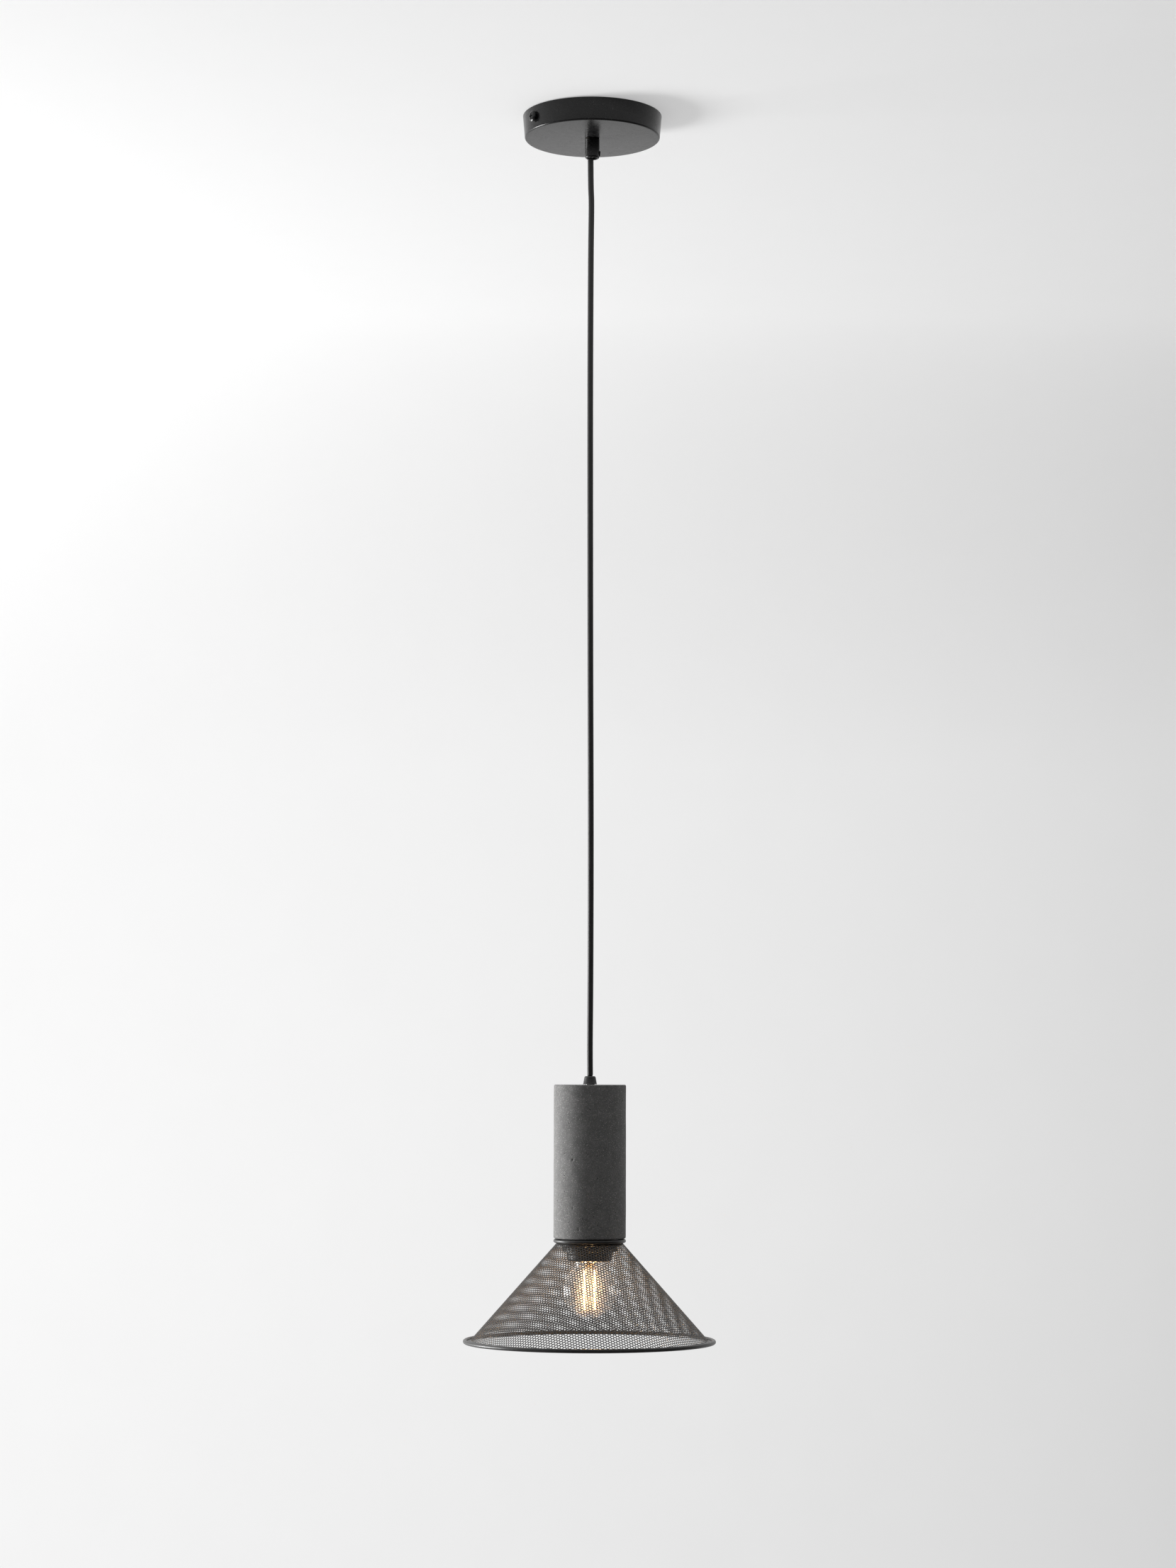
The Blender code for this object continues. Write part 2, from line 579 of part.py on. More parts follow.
def build_shade():
    """Cone of thin sheet between a neck bead and a rolled rim, on a flat collar."""
    coat = black_coat()
    slope = math.atan2(CONE_FOOT[0] - CONE_TOP[0], CONE_TOP[1] - CONE_FOOT[1])
    inward = (-CONE_SHEET * math.cos(slope), -CONE_SHEET * math.sin(slope))
    inner = [(radius + inward[0], level + inward[1]) for radius, level in (CONE_FOOT, CONE_TOP)]
    place("shade_cone", turned([CONE_TOP, CONE_FOOT, *inner], FINE), coat)
    radius, level, wire = NECK_BEAD
    place("neck_bead", turned(arc((radius, level), wire, 0, -315, 7)), coat)
    radius, level, wire = RIM_BEAD
    bead = arc((radius, level), wire, 165, -165, 8)
    lip = [(CONE_FOOT[0] + GAP, level + 1.5), (CONE_FOOT[0] + GAP, level + 2.3)]
    place("rim_bead", turned(bead + lip, FINE), coat)
    place("shade_collar", turned(ring_outline(*COLLAR_RADII, *COLLAR_LEVELS)), coat)


def build_shade_ring():
    """Threaded ring on the lampholder's skirt that clamps the shade's collar."""
    bore, barrel, flange = SHADE_RING_RADII
    top, step, foot = SHADE_RING_LEVELS
    outline = [(flange, top), (flange, step), (barrel, step - 1.0), (barrel, foot)]
    outline += [(bore, foot), (bore, top)]
    place("shade_ring", turned(outline), black_plastic())


# ---------------------------------------------------------------- bulb


def build_bulb_cap():
    """E27 cap with its insulator and centre contact."""
    radius, top, sheet = BULB_CAP_RADIUS, BULB_CAP_TOP, BULB_CAP_SHEET
    cap = [(8.0, top), (radius - 0.6, top - 1.3), (radius, top - 2.3), (radius, BULB_CAP_FOOT)]
    cap += [(radius - sheet, BULB_CAP_FOOT), (radius - sheet, top - 2.5), (8.0, top - 0.6)]
    nickel = finish("nickel_plated_brass", (0.7, 0.69, 0.66), 0.25, 1.0)
    place("bulb_cap", turned(cap), nickel)
    insulator = [(0.0, BULB_TIP - 1.3), (4.4, BULB_TIP - 1.3), (7.6, BULB_TIP - 2.3)]
    insulator += [(7.6, BULB_TIP - 3.4), (0.0, BULB_TIP - 3.4)]
    vitrite = finish("black_glass", (0.02, 0.02, 0.02), 0.15)
    place("bulb_insulator", turned(insulator, COARSE), vitrite)
    tip = [(0.0, BULB_TIP), (2.6, BULB_TIP), (3.5, BULB_TIP - 0.4)]
    tip += [(3.9, BULB_TIP - 1.0), (0.0, BULB_TIP - 1.0)]
    place("bulb_contact", turned(tip, COARSE), nickel)


def build_bulb_glass():
    """Clear globe blown into a neck that is cemented in the cap."""
    neck, mouth = BULB_NECK, BULB_CAP_FOOT + 6.0
    inner_radius = BULB_RADIUS - BULB_GLASS
    join = 52.0  # angle above the globe's middle at which the neck begins
    outer = arc((0.0, BULB_CENTRE), BULB_RADIUS, -90, join, 10)
    outer[0] = (0.0, BULB_CENTRE - BULB_RADIUS)
    outer += [(neck + 0.5, BULB_CENTRE + 20.4), (neck, BULB_CENTRE + 23.0), (neck, mouth)]
    inner = [(neck - BULB_GLASS, mouth), (neck - BULB_GLASS, BULB_CENTRE + 22.6)]
    inner += [(neck - 0.2, BULB_CENTRE + 19.4)]
    inner += arc((0.0, BULB_CENTRE), inner_radius, join, -90, 10)
    inner[-1] = (0.0, BULB_CENTRE - inner_radius)
    place("bulb_glass", turned(outer + inner), clear_glass())


def build_bulb_stem():
    """Glass stem that carries the filaments, and the wire ring that joins their lower ends."""
    mouth, foot = BULB_CAP_FOOT + 5.0, FILAMENT_LEVELS[1]
    flange, sheet = STEM_FLANGE
    outline = [(0.0, mouth), (flange, mouth), (flange, mouth - sheet), (6.5, mouth - 8.0)]
    outline += [(3.2, mouth - 12.5), (1.7, mouth - 16.5), (1.5, foot + 3.0), (0.0, foot + 1.8)]
    place("bulb_stem", turned(outline, COARSE), clear_glass())
    reach = math.hypot(FILAMENT_AT, FILAMENT_AT)
    ring = arc((reach, foot - 0.9), RING_WIRE, 0, -300, 5)
    place("filament_ring", turned(ring, COARSE), steel())


def build_filaments():
    """Four upright filament rods on the corners of a square."""
    glow = finish("filament_glow", (1.0, 0.72, 0.35), 0.4)
    top, foot = FILAMENT_LEVELS
    radius = FILAMENT_RADIUS
    outline = [(0.0, top), (0.6 * radius, top), (radius, top - 0.5), (radius, foot + 0.5)]
    outline += [(0.6 * radius, foot), (0.0, foot)]
    corners = ((-1, -1), (1, -1), (1, 1), (-1, 1))
    for number, (x, y) in enumerate(corners, start=1):
        at = (x * FILAMENT_AT, y * FILAMENT_AT, 0.0)
        place(f"filament_{number}", turned(outline, 10), glow, at)


def clear_scene():
    for item in list(bpy.data.objects):
        bpy.data.objects.remove(item, do_unlink=True)


def main():
    """Builds the light from the ceiling down."""
    clear_scene()
    bpy.context.scene.unit_settings.system = "METRIC"
    build_bracket()
    build_canopy()
    for name, side in (("front", -1), ("back", 1)):
        build_side_screw(f"side_screw_{name}", side)
        build_side_nut(f"side_nut_{name}", side)
    build_grip()
    build_set_screw()
    build_nipple()
    build_terminal_block()
    build_cores()
    build_cord()
    build_cord_stubs()
    build_relief()
    build_concrete()
    build_hanger()
    build_holder()
    build_holder_contacts()
    build_shade()
    build_shade_ring()
    build_bulb_cap()
    build_bulb_glass()
    build_bulb_stem()
    build_filaments()


if __name__ == "__main__":
    main()
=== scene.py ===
"""Looks of a pendant ceiling light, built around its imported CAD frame.

Every sub-assembly is a class. Its sizes are dataclass fields in metres, its places come from the frame's
nodes, and its build method makes the meshes, dresses them and hands them to their CAD bodies.
"""

import logging
import math
from dataclasses import dataclass, field
from enum import Enum
from typing import Optional, Sequence

import bmesh
import bpy
import numpy as np
from mathutils import Euler, Matrix, Vector


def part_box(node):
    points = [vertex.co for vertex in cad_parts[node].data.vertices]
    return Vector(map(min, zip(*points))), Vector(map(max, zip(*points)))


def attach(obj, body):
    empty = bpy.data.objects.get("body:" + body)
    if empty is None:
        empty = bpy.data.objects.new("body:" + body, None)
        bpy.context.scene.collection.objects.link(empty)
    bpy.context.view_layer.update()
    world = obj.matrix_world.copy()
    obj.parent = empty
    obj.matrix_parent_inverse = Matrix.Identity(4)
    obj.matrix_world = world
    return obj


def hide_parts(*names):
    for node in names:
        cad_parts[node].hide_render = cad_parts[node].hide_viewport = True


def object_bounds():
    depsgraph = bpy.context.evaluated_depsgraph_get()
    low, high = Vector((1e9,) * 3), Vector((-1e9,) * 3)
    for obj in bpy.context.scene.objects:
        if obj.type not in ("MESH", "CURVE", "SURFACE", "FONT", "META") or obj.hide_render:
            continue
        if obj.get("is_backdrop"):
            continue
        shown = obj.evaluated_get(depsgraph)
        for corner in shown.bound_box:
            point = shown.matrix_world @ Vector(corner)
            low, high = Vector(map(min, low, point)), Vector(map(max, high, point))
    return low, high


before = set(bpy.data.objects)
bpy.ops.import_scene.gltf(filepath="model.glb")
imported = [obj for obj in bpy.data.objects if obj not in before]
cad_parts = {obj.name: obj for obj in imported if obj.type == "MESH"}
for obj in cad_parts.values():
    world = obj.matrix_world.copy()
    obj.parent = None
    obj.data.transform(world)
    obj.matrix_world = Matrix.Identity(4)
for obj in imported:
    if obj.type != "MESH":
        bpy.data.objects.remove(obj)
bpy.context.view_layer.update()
LOG = logging.getLogger("pendant")
MM = 0.001
FRONT = -math.pi / 2
RIM_WIRE = 1.7 * MM
RIM_INSET = 2.3 * MM  # from the rim bead inwards to the cone's foot
LAMP_PITCH = 3.629 * MM  # rise in one turn of the lamp thread
Outline = Sequence[tuple[float, float]]
Colour = tuple[float, float, float]


# ------------------------------------------------------------------ shader building blocks


class NodeSheet:
    """A small helper that adds and links the nodes of one shader tree."""

    def __init__(self, tree: bpy.types.NodeTree) -> None:
        """Keeps the tree that the nodes go into.

        Args:
            tree: A material's or a group's node tree.
        """
        self.tree = tree

    def add(self, kind: str, inputs: Optional[dict] = None, **settings: object) -> bpy.types.Node:
        """Adds one node.

        Args:
            kind: The node's type name.
            inputs: Values or output sockets by input name or index.
            settings: The node's own properties.

        Returns:
            The new node.
        """
        node = self.tree.nodes.new(kind)
        for name, value in settings.items():
            setattr(node, name, value)
        for name, value in (inputs or {}).items():
            if isinstance(value, bpy.types.NodeSocket):
                self.tree.links.new(value, node.inputs[name])
            else:
                node.inputs[name].default_value = value
        return node

    def place(self) -> bpy.types.NodeSocket:
        """The shaded point in the object's own coordinates.

        Returns:
            The vector socket.
        """
        return self.add("ShaderNodeTexCoord").outputs["Object"]

    def math(self, operation: str, *values: object) -> bpy.types.NodeSocket:
        """Adds a Math node.

        Args:
            operation: The operation's name.
            values: Numbers or sockets, in order.

        Returns:
            Its output.
        """
        return self.add("ShaderNodeMath", dict(enumerate(values)), operation=operation).outputs[0]

    def band(self, value: object, low: float, high: float, start: float = 0.0, end: float = 1.0) -> object:
        """Maps a value from one range to another, clamped.

        Args:
            value: The socket to map.
            low: Value that becomes start.
            high: Value that becomes end.
            start: First output value.
            end: Last output value.

        Returns:
            The mapped socket.
        """
        inputs = {"Value": value, "From Min": low, "From Max": high, "To Min": start, "To Max": end}
        return self.add("ShaderNodeMapRange", inputs, clamp=True).outputs["Result"]

    def blend(self, factor: object, first: object, second: object) -> bpy.types.NodeSocket:
        """Mixes two colours.

        Args:
            factor: Share of the second colour.
            first: Colour or socket.
            second: Colour or socket.

        Returns:
            The mixed colour socket.
        """
        node = self.add("ShaderNodeMix", data_type="RGBA")
        for socket, value in ((node.inputs[0], factor), (node.inputs[6], first), (node.inputs[7], second)):
            if isinstance(value, bpy.types.NodeSocket):
                self.tree.links.new(value, socket)
            elif isinstance(value, tuple):
                socket.default_value = (*value, 1.0)
            else:
                socket.default_value = value
        return node.outputs[2]


def new_group(name: str, inputs: dict[str, float], outputs: dict[str, str]) -> bpy.types.NodeTree:
    """Makes an empty shader group with its sockets.

    Args:
        name: The group's name.
        inputs: Default value of each float input.
        outputs: Socket type of each output.

    Returns:
        The group's tree.
    """
    tree = bpy.data.node_groups.new(name, "ShaderNodeTree")
    for label, value in inputs.items():
        tree.interface.new_socket(label, in_out="INPUT", socket_type="NodeSocketFloat").default_value = value
    for label, kind in outputs.items():
        tree.interface.new_socket(label, in_out="OUTPUT", socket_type=kind)
    return tree


def fine_grain_group() -> bpy.types.NodeTree:
    """A fine two-scale grain.

    Returns:
        The group, built on first use. Its outputs are a value around 0.5 and a height.
    """
    found = bpy.data.node_groups.get("FineGrain")
    if found:
        return found
    outputs = {"Value": "NodeSocketFloat", "Height": "NodeSocketFloat"}
    tree = new_group("FineGrain", {"Scale": 900.0, "Coarse Share": 0.3}, outputs)
    sheet = NodeSheet(tree)
    entry = sheet.add("NodeGroupInput")
    place = sheet.place()
    fine = sheet.add("ShaderNodeTexNoise", {"Vector": place, "Scale": entry.outputs["Scale"], "Detail": 3.0})
    wide = sheet.math("MULTIPLY", entry.outputs["Scale"], 0.12)
    coarse = sheet.add("ShaderNodeTexNoise", {"Vector": place, "Scale": wide, "Detail": 2.0})
    share = entry.outputs["Coarse Share"]
    kept = sheet.math("SUBTRACT", 1.0, share)
    total = sheet.math("ADD", sheet.math("MULTIPLY", fine.outputs[0], kept),
                       sheet.math("MULTIPLY", coarse.outputs[0], share))
    sheet.add("NodeGroupOutput", {"Value": total, "Height": total})
    return tree


def edge_wear_group() -> bpy.types.NodeTree:
    """Rubbed convex edges, broken up by noise.

    Returns:
        The group, built on first use. Its output is a mask.
    """
    found = bpy.data.node_groups.get("EdgeWear")
    if found:
        return found
    tree = new_group("EdgeWear", {"Amount": 0.5, "Scale": 250.0}, {"Mask": "NodeSocketFloat"})
    sheet = NodeSheet(tree)
    entry = sheet.add("NodeGroupInput")
    place = sheet.place()
    noise = sheet.add("ShaderNodeTexNoise", {"Vector": place, "Scale": entry.outputs["Scale"], "Detail": 4.0})
    edges = sheet.band(sheet.add("ShaderNodeNewGeometry").outputs["Pointiness"], 0.52, 0.6)
    broken = sheet.math("MULTIPLY", edges, sheet.band(noise.outputs[0], 0.4, 0.65))
    sheet.add("NodeGroupOutput", {"Mask": sheet.math("MULTIPLY", broken, entry.outputs["Amount"])})
    return tree


def settled_dust_group() -> bpy.types.NodeTree:
    """Thin dust on faces that look up.

    Returns:
        The group, built on first use. Its output is a mask.
    """
    found = bpy.data.node_groups.get("SettledDust")
    if found:
        return found
    tree = new_group("SettledDust", {"Amount": 0.2, "Scale": 60.0}, {"Mask": "NodeSocketFloat"})
    sheet = NodeSheet(tree)
    entry = sheet.add("NodeGroupInput")
    place = sheet.place()
    noise = sheet.add("ShaderNodeTexNoise", {"Vector": place, "Scale": entry.outputs["Scale"], "Detail": 5.0})
    normal = sheet.add("ShaderNodeNewGeometry").outputs["Normal"]
    up = sheet.band(sheet.add("ShaderNodeSeparateXYZ", {0: normal}).outputs["Z"], 0.3, 0.95)
    patchy = sheet.math("MULTIPLY", up, sheet.band(noise.outputs[0], 0.3, 0.7))
    sheet.add("NodeGroupOutput", {"Mask": sheet.math("MULTIPLY", patchy, entry.outputs["Amount"])})
    return tree


def toned(colour: Colour, share: float, lift: float = 0.0) -> Colour:
    """A lighter or darker tone of a colour.

    Args:
        colour: The colour to start from.
        share: What each channel is multiplied by.
        lift: What is added to each channel.

    Returns:
        The tone, with no channel over 1.
    """
    return tuple(min(1.0, share * c + lift) for c in colour)


@dataclass(frozen=True)
class Finish:
    """What every finish has: a name, a base colour and a roughness."""

    name: str
    colour: Colour
    roughness: float

    def material(self) -> bpy.types.Material:
        """Builds the material once.

        Returns:
            The material of this finish's name.
        """
        found = bpy.data.materials.get(self.name)
        if found:
            return found
        made = bpy.data.materials.new(self.name)
        made.use_nodes = True
        made.diffuse_color = (*self.colour, 1.0)
        shader = made.node_tree.nodes["Principled BSDF"]
        shader.inputs["Base Color"].default_value = (*self.colour, 1.0)
        shader.inputs["Roughness"].default_value = self.roughness
        self.dress(NodeSheet(made.node_tree), shader)
        return made

    def dress(self, sheet: NodeSheet, shader: bpy.types.Node) -> None:
        """Adds the finish's own pattern. A plain finish adds none.

        Args:
            sheet: The material's node sheet.
            shader: Its Principled node.
        """

    def group(self, sheet: NodeSheet, tree: bpy.types.NodeTree, **values: float) -> bpy.types.Node:
        """Places a shared group with its own values.

        Args:
            sheet: The material's node sheet.
            tree: The group to place.
            values: Input values, with underscores for spaces.

        Returns:
            The group node.
        """
        node = sheet.add("ShaderNodeGroup", node_tree=tree)
        for name, value in values.items():
            node.inputs[name.replace("_", " ")].default_value = value
        return node

    def bump(self, sheet: NodeSheet, shader: bpy.types.Node, height: object, depth: float,
             strength: float) -> None:
        """Feeds a height into the shader's normal.

        Args:
            sheet: The material's node sheet.
            shader: Its Principled node.
            height: Height socket, 0 to 1.
            depth: Real depth of the relief in metres.
            strength: The bump's strength.
        """
        node = sheet.add("ShaderNodeBump", {"Height": height, "Distance": depth, "Strength": strength})
        sheet.tree.links.new(node.outputs[0], shader.inputs["Normal"])


@dataclass(frozen=True)
class PowderCoat(Finish):
    """Matte black powder coat with a fine texture, rubbed edges and a little dust."""

    grain_scale: float = 1500.0
    wear: float = 0.35
    gloss: float = 0.3

    def dress(self, sheet: NodeSheet, shader: bpy.types.Node) -> None:
        """Adds the coat's grain, rubbed edges and dust.

        Args:
            sheet: The material's node sheet.
            shader: Its Principled node.
        """
        shader.inputs["Specular IOR Level"].default_value = self.gloss
        grain = self.group(sheet, fine_grain_group(), Scale=self.grain_scale, Coarse_Share=0.35)
        wear = self.group(sheet, edge_wear_group(), Amount=self.wear, Scale=300.0)
        dust = self.group(sheet, settled_dust_group(), Amount=0.06, Scale=55.0)
        lighter = toned(self.colour, 1.35)
        darker = toned(self.colour, 0.75)
        coat = sheet.blend(sheet.band(grain.outputs["Value"], 0.35, 0.65), darker, lighter)
        rubbed = sheet.blend(wear.outputs["Mask"], coat, (0.09, 0.09, 0.092))
        dusty = sheet.blend(dust.outputs["Mask"], rubbed, (0.32, 0.31, 0.29))
        sheet.tree.links.new(dusty, shader.inputs["Base Color"])
        rough = sheet.band(grain.outputs["Value"], 0.3, 0.7, self.roughness - 0.05, self.roughness + 0.07)
        sheet.tree.links.new(rough, shader.inputs["Roughness"])
        self.bump(sheet, shader, grain.outputs["Height"], 0.00008, 0.35)


@dataclass(frozen=True)
class CastConcrete(Finish):
    """Dark cast concrete with pale grains, fine sand, soft clouds and small pits, with painted shade in the
    pits.
    """

    speck_colour: Colour = (0.5, 0.49, 0.47)
    speck_scale: float = 1300.0

    def specks(self, sheet: NodeSheet, scale: float, size: float, share: float) -> object:
        """A mask of scattered grains.

        Args:
            sheet: The material's node sheet.
            scale: Cells per metre.
            size: Grain radius as a share of a cell.
            share: Share of the cells that hold a grain.

        Returns:
            The mask socket.
        """
        place = sheet.place()
        cells = sheet.add("ShaderNodeTexVoronoi", {"Vector": place, "Scale": scale})
        near = sheet.band(cells.outputs["Distance"], size * 0.55, size, 1.0, 0.0)
        pick = sheet.add("ShaderNodeSeparateColor", {0: cells.outputs["Color"]}).outputs[0]
        chosen = sheet.math("LESS_THAN", pick, share)
        return sheet.math("MULTIPLY", near, chosen)

    def dress(self, sheet: NodeSheet, shader: bpy.types.Node) -> None:
        """Adds clouds, sand, pale grains, pits with painted shade in them, and dust.

        Args:
            sheet: The material's node sheet.
            shader: Its Principled node.
        """
        place = sheet.place()
        clouds = sheet.add("ShaderNodeTexNoise", {"Vector": place, "Scale": 160.0, "Detail": 5.0})
        sand = self.group(sheet, fine_grain_group(), Scale=1300.0, Coarse_Share=0.3)
        darker = toned(self.colour, 0.86)
        lighter = toned(self.colour, 1.14)
        base = sheet.blend(sheet.band(clouds.outputs[0], 0.3, 0.7), darker, lighter)
        sandy = sheet.blend(sheet.band(sand.outputs["Value"], 0.38, 0.68, 0.0, 0.5), base,
                            toned(self.colour, 2.0))
        pale = self.specks(sheet, self.speck_scale, 0.42, 0.42)
        bright = self.specks(sheet, self.speck_scale * 0.62, 0.3, 0.24)
        pits = self.specks(sheet, 330.0, 0.17, 0.1)
        grains = sheet.blend(sheet.math("MULTIPLY", pale, 0.5), sandy, self.speck_colour)
        stones = sheet.blend(sheet.math("MULTIPLY", bright, 0.75), grains, (0.62, 0.6, 0.57))
        # The pits' near-black colour is painted shade that darkens the recesses.
        shade_in_pits = sheet.blend(pits, stones, (0.012, 0.012, 0.012))
        dust = self.group(sheet, settled_dust_group(), Amount=0.12, Scale=45.0)
        dusty = sheet.blend(dust.outputs["Mask"], shade_in_pits, (0.38, 0.37, 0.35))
        sheet.tree.links.new(dusty, shader.inputs["Base Color"])
        relief = sheet.math("SUBTRACT", sand.outputs["Height"], sheet.math("MULTIPLY", pits, 0.9))
        self.bump(sheet, shader, relief, 0.00035, 0.7)


@dataclass(frozen=True)
class Sheath(Finish):
    """Soft black PVC cord sheath with faint lengthwise rubbing marks."""

    def dress(self, sheet: NodeSheet, shader: bpy.types.Node) -> None:
        """Adds rubbing marks along the cord.

        Args:
            sheet: The material's node sheet.
            shader: Its Principled node.
        """
        place = sheet.place()
        along = sheet.add("ShaderNodeMapping", {"Vector": place, "Scale": (1.0, 1.0, 0.06)})
        marks = sheet.add("ShaderNodeTexNoise", {"Vector": along.outputs[0], "Scale": 900.0, "Detail": 3.0})
        darker = toned(self.colour, 0.8)
        lighter = toned(self.colour, 1.4)
        tint = sheet.blend(sheet.band(marks.outputs[0], 0.35, 0.7), darker, lighter)
        sheet.tree.links.new(tint, shader.inputs["Base Color"])
        rough = sheet.band(marks.outputs[0], 0.3, 0.7, self.roughness - 0.06, self.roughness + 0.08)
        sheet.tree.links.new(rough, shader.inputs["Roughness"])
        self.bump(sheet, shader, marks.outputs[0], 0.00004, 0.4)


@dataclass(frozen=True)
class MouldedPlastic(Finish):
    """Moulded plastic or glazed ceramic with a faint grain and rubbed edges."""

    grain_depth: float = 0.00004

    def dress(self, sheet: NodeSheet, shader: bpy.types.Node) -> None:
        """Adds the moulding's grain and edge wear.

        Args:
            sheet: The material's node sheet.
            shader: Its Principled node.
        """
        grain = self.group(sheet, fine_grain_group(), Scale=1100.0, Coarse_Share=0.5)
        wear = self.group(sheet, edge_wear_group(), Amount=0.25, Scale=260.0)
        tint = sheet.blend(sheet.band(grain.outputs["Value"], 0.3, 0.7), toned(self.colour, 0.9),
                           toned(self.colour, 1.12))
        rubbed = sheet.blend(wear.outputs["Mask"], tint, toned(self.colour, 1.5, 0.05))
        sheet.tree.links.new(rubbed, shader.inputs["Base Color"])
        rough = sheet.band(grain.outputs["Value"], 0.3, 0.7, self.roughness - 0.04, self.roughness + 0.06)
        sheet.tree.links.new(rough, shader.inputs["Roughness"])
        self.bump(sheet, shader, grain.outputs["Height"], self.grain_depth, 0.3)


@dataclass(frozen=True)
class BareMetal(Finish):
    """Turned or plated metal with fine tool marks and slight tarnish."""

    tarnish: Colour = (0.25, 0.2, 0.14)

    def dress(self, sheet: NodeSheet, shader: bpy.types.Node) -> None:
        """Adds tool marks and tarnish.

        Args:
            sheet: The material's node sheet.
            shader: Its Principled node.
        """
        shader.inputs["Metallic"].default_value = 1.0
        place = sheet.place()
        around = sheet.add("ShaderNodeMapping", {"Vector": place, "Scale": (0.15, 0.15, 1.0)})
        marks = sheet.add("ShaderNodeTexNoise", {"Vector": around.outputs[0], "Scale": 2600.0, "Detail": 2.0})
        patches = sheet.add("ShaderNodeTexNoise", {"Vector": place, "Scale": 190.0, "Detail": 5.0})
        tint = sheet.blend(sheet.band(patches.outputs[0], 0.5, 0.8, 0.0, 0.35), self.colour, self.tarnish)
        sheet.tree.links.new(tint, shader.inputs["Base Color"])
        rough = sheet.band(marks.outputs[0], 0.3, 0.7, self.roughness - 0.07, self.roughness + 0.1)
        sheet.tree.links.new(rough, shader.inputs["Roughness"])
        self.bump(sheet, shader, marks.outputs[0], 0.00003, 0.3)


@dataclass(frozen=True)
class BlownGlass(Finish):
    """Clear blown glass with a slight haze, which spreads the filaments' light."""

    def dress(self, sheet: NodeSheet, shader: bpy.types.Node) -> None:
        """Makes the shader clear, with faint ripples in its gloss.

        Args:
            sheet: The material's node sheet.
            shader: Its Principled node.
        """
        shader.inputs["Transmission Weight"].default_value = 1.0
        shader.inputs["IOR"].default_value = 1.46
        place = sheet.place()
        ripples = sheet.add("ShaderNodeTexNoise", {"Vector": place, "Scale": 90.0, "Detail": 1.0})
        rough = sheet.band(ripples.outputs[0], 0.3, 0.7, self.roughness - 0.02, self.roughness + 0.02)
        sheet.tree.links.new(rough, shader.inputs["Roughness"])


@dataclass(frozen=True)
class Glow(Finish):
    """Lit phosphor coating of a filament rod."""

    light: Colour = (1.0, 0.5, 0.2)
    strength: float = 420.0

    def dress(self, sheet: NodeSheet, shader: bpy.types.Node) -> None:
        """Lights the surface, with faint segments where the chips sit.

        Args:
            sheet: The material's node sheet.
            shader: Its Principled node.
        """
        place = sheet.place()
        chips = sheet.add("ShaderNodeTexWave", {"Vector": place, "Scale": 90.0},
                          wave_type="BANDS", bands_direction="Z")
        core = toned(self.light, 1.15, 0.06)
        tint = sheet.blend(sheet.band(chips.outputs["Fac"], 0.2, 0.8), self.light, core)
        sheet.tree.links.new(tint, shader.inputs["Emission Color"])
        shader.inputs["Emission Strength"].default_value = self.strength


class Finishes:
    """The finishes of the light's pieces."""

    coat = PowderCoat("black_powder_coat", (0.007, 0.007, 0.0072), 0.24)
    shade_coat = PowderCoat("shade_powder_coat", (0.024, 0.0235, 0.023), 0.36, grain_scale=1800.0, gloss=0.45)
    concrete = CastConcrete("cast_concrete", (0.14, 0.139, 0.137), 0.85)
    sheath = Sheath("pvc_sheath", (0.016, 0.0155, 0.0155), 0.48)
    plastic = MouldedPlastic("black_thermoplastic", (0.018, 0.018, 0.019), 0.4)
    relief = MouldedPlastic("relief_plastic", (0.024, 0.024, 0.0245), 0.5)
    nylon = MouldedPlastic("natural_nylon", (0.74, 0.72, 0.66), 0.42)
    steatite = MouldedPlastic("steatite", (0.8, 0.78, 0.74), 0.5)
    vitrite = MouldedPlastic("black_vitrite", (0.012, 0.012, 0.013), 0.12)
    brown_core = MouldedPlastic("brown_insulation", (0.2, 0.075, 0.035), 0.42)
    blue_core = MouldedPlastic("blue_insulation", (0.025, 0.11, 0.4), 0.42)
    zinc = BareMetal("zinc_plated_steel", (0.6, 0.61, 0.62), 0.32, tarnish=(0.36, 0.35, 0.33))
    brass = BareMetal("turned_brass", (0.75, 0.55, 0.27), 0.28)
    nickel = BareMetal("nickel_plate", (0.7, 0.68, 0.64), 0.22, tarnish=(0.45, 0.42, 0.38))
    glass = BlownGlass("globe_glass", (0.99, 0.995, 0.99), 0.135)
    glow = Glow("filament_phosphor", (1.0, 0.72, 0.35), 0.5)


# ------------------------------------------------------------------ mesh building blocks


def arc(centre: tuple[float, float], radius: float, start: float, stop: float, steps: int) -> list:
    """Points of a circular arc in a turned outline.

    Args:
        centre: (radius, level) of its centre.
        radius: Its radius.
        start: First angle in degrees, 0 pointing outwards and 90 up.
        stop: Last angle in degrees.
        steps: Number of chords.

    Returns:
        (radius, level) points.
    """
    angles = np.radians(np.linspace(start, stop, steps + 1))
    return [(centre[0] + radius * math.cos(a), centre[1] + radius * math.sin(a)) for a in angles]


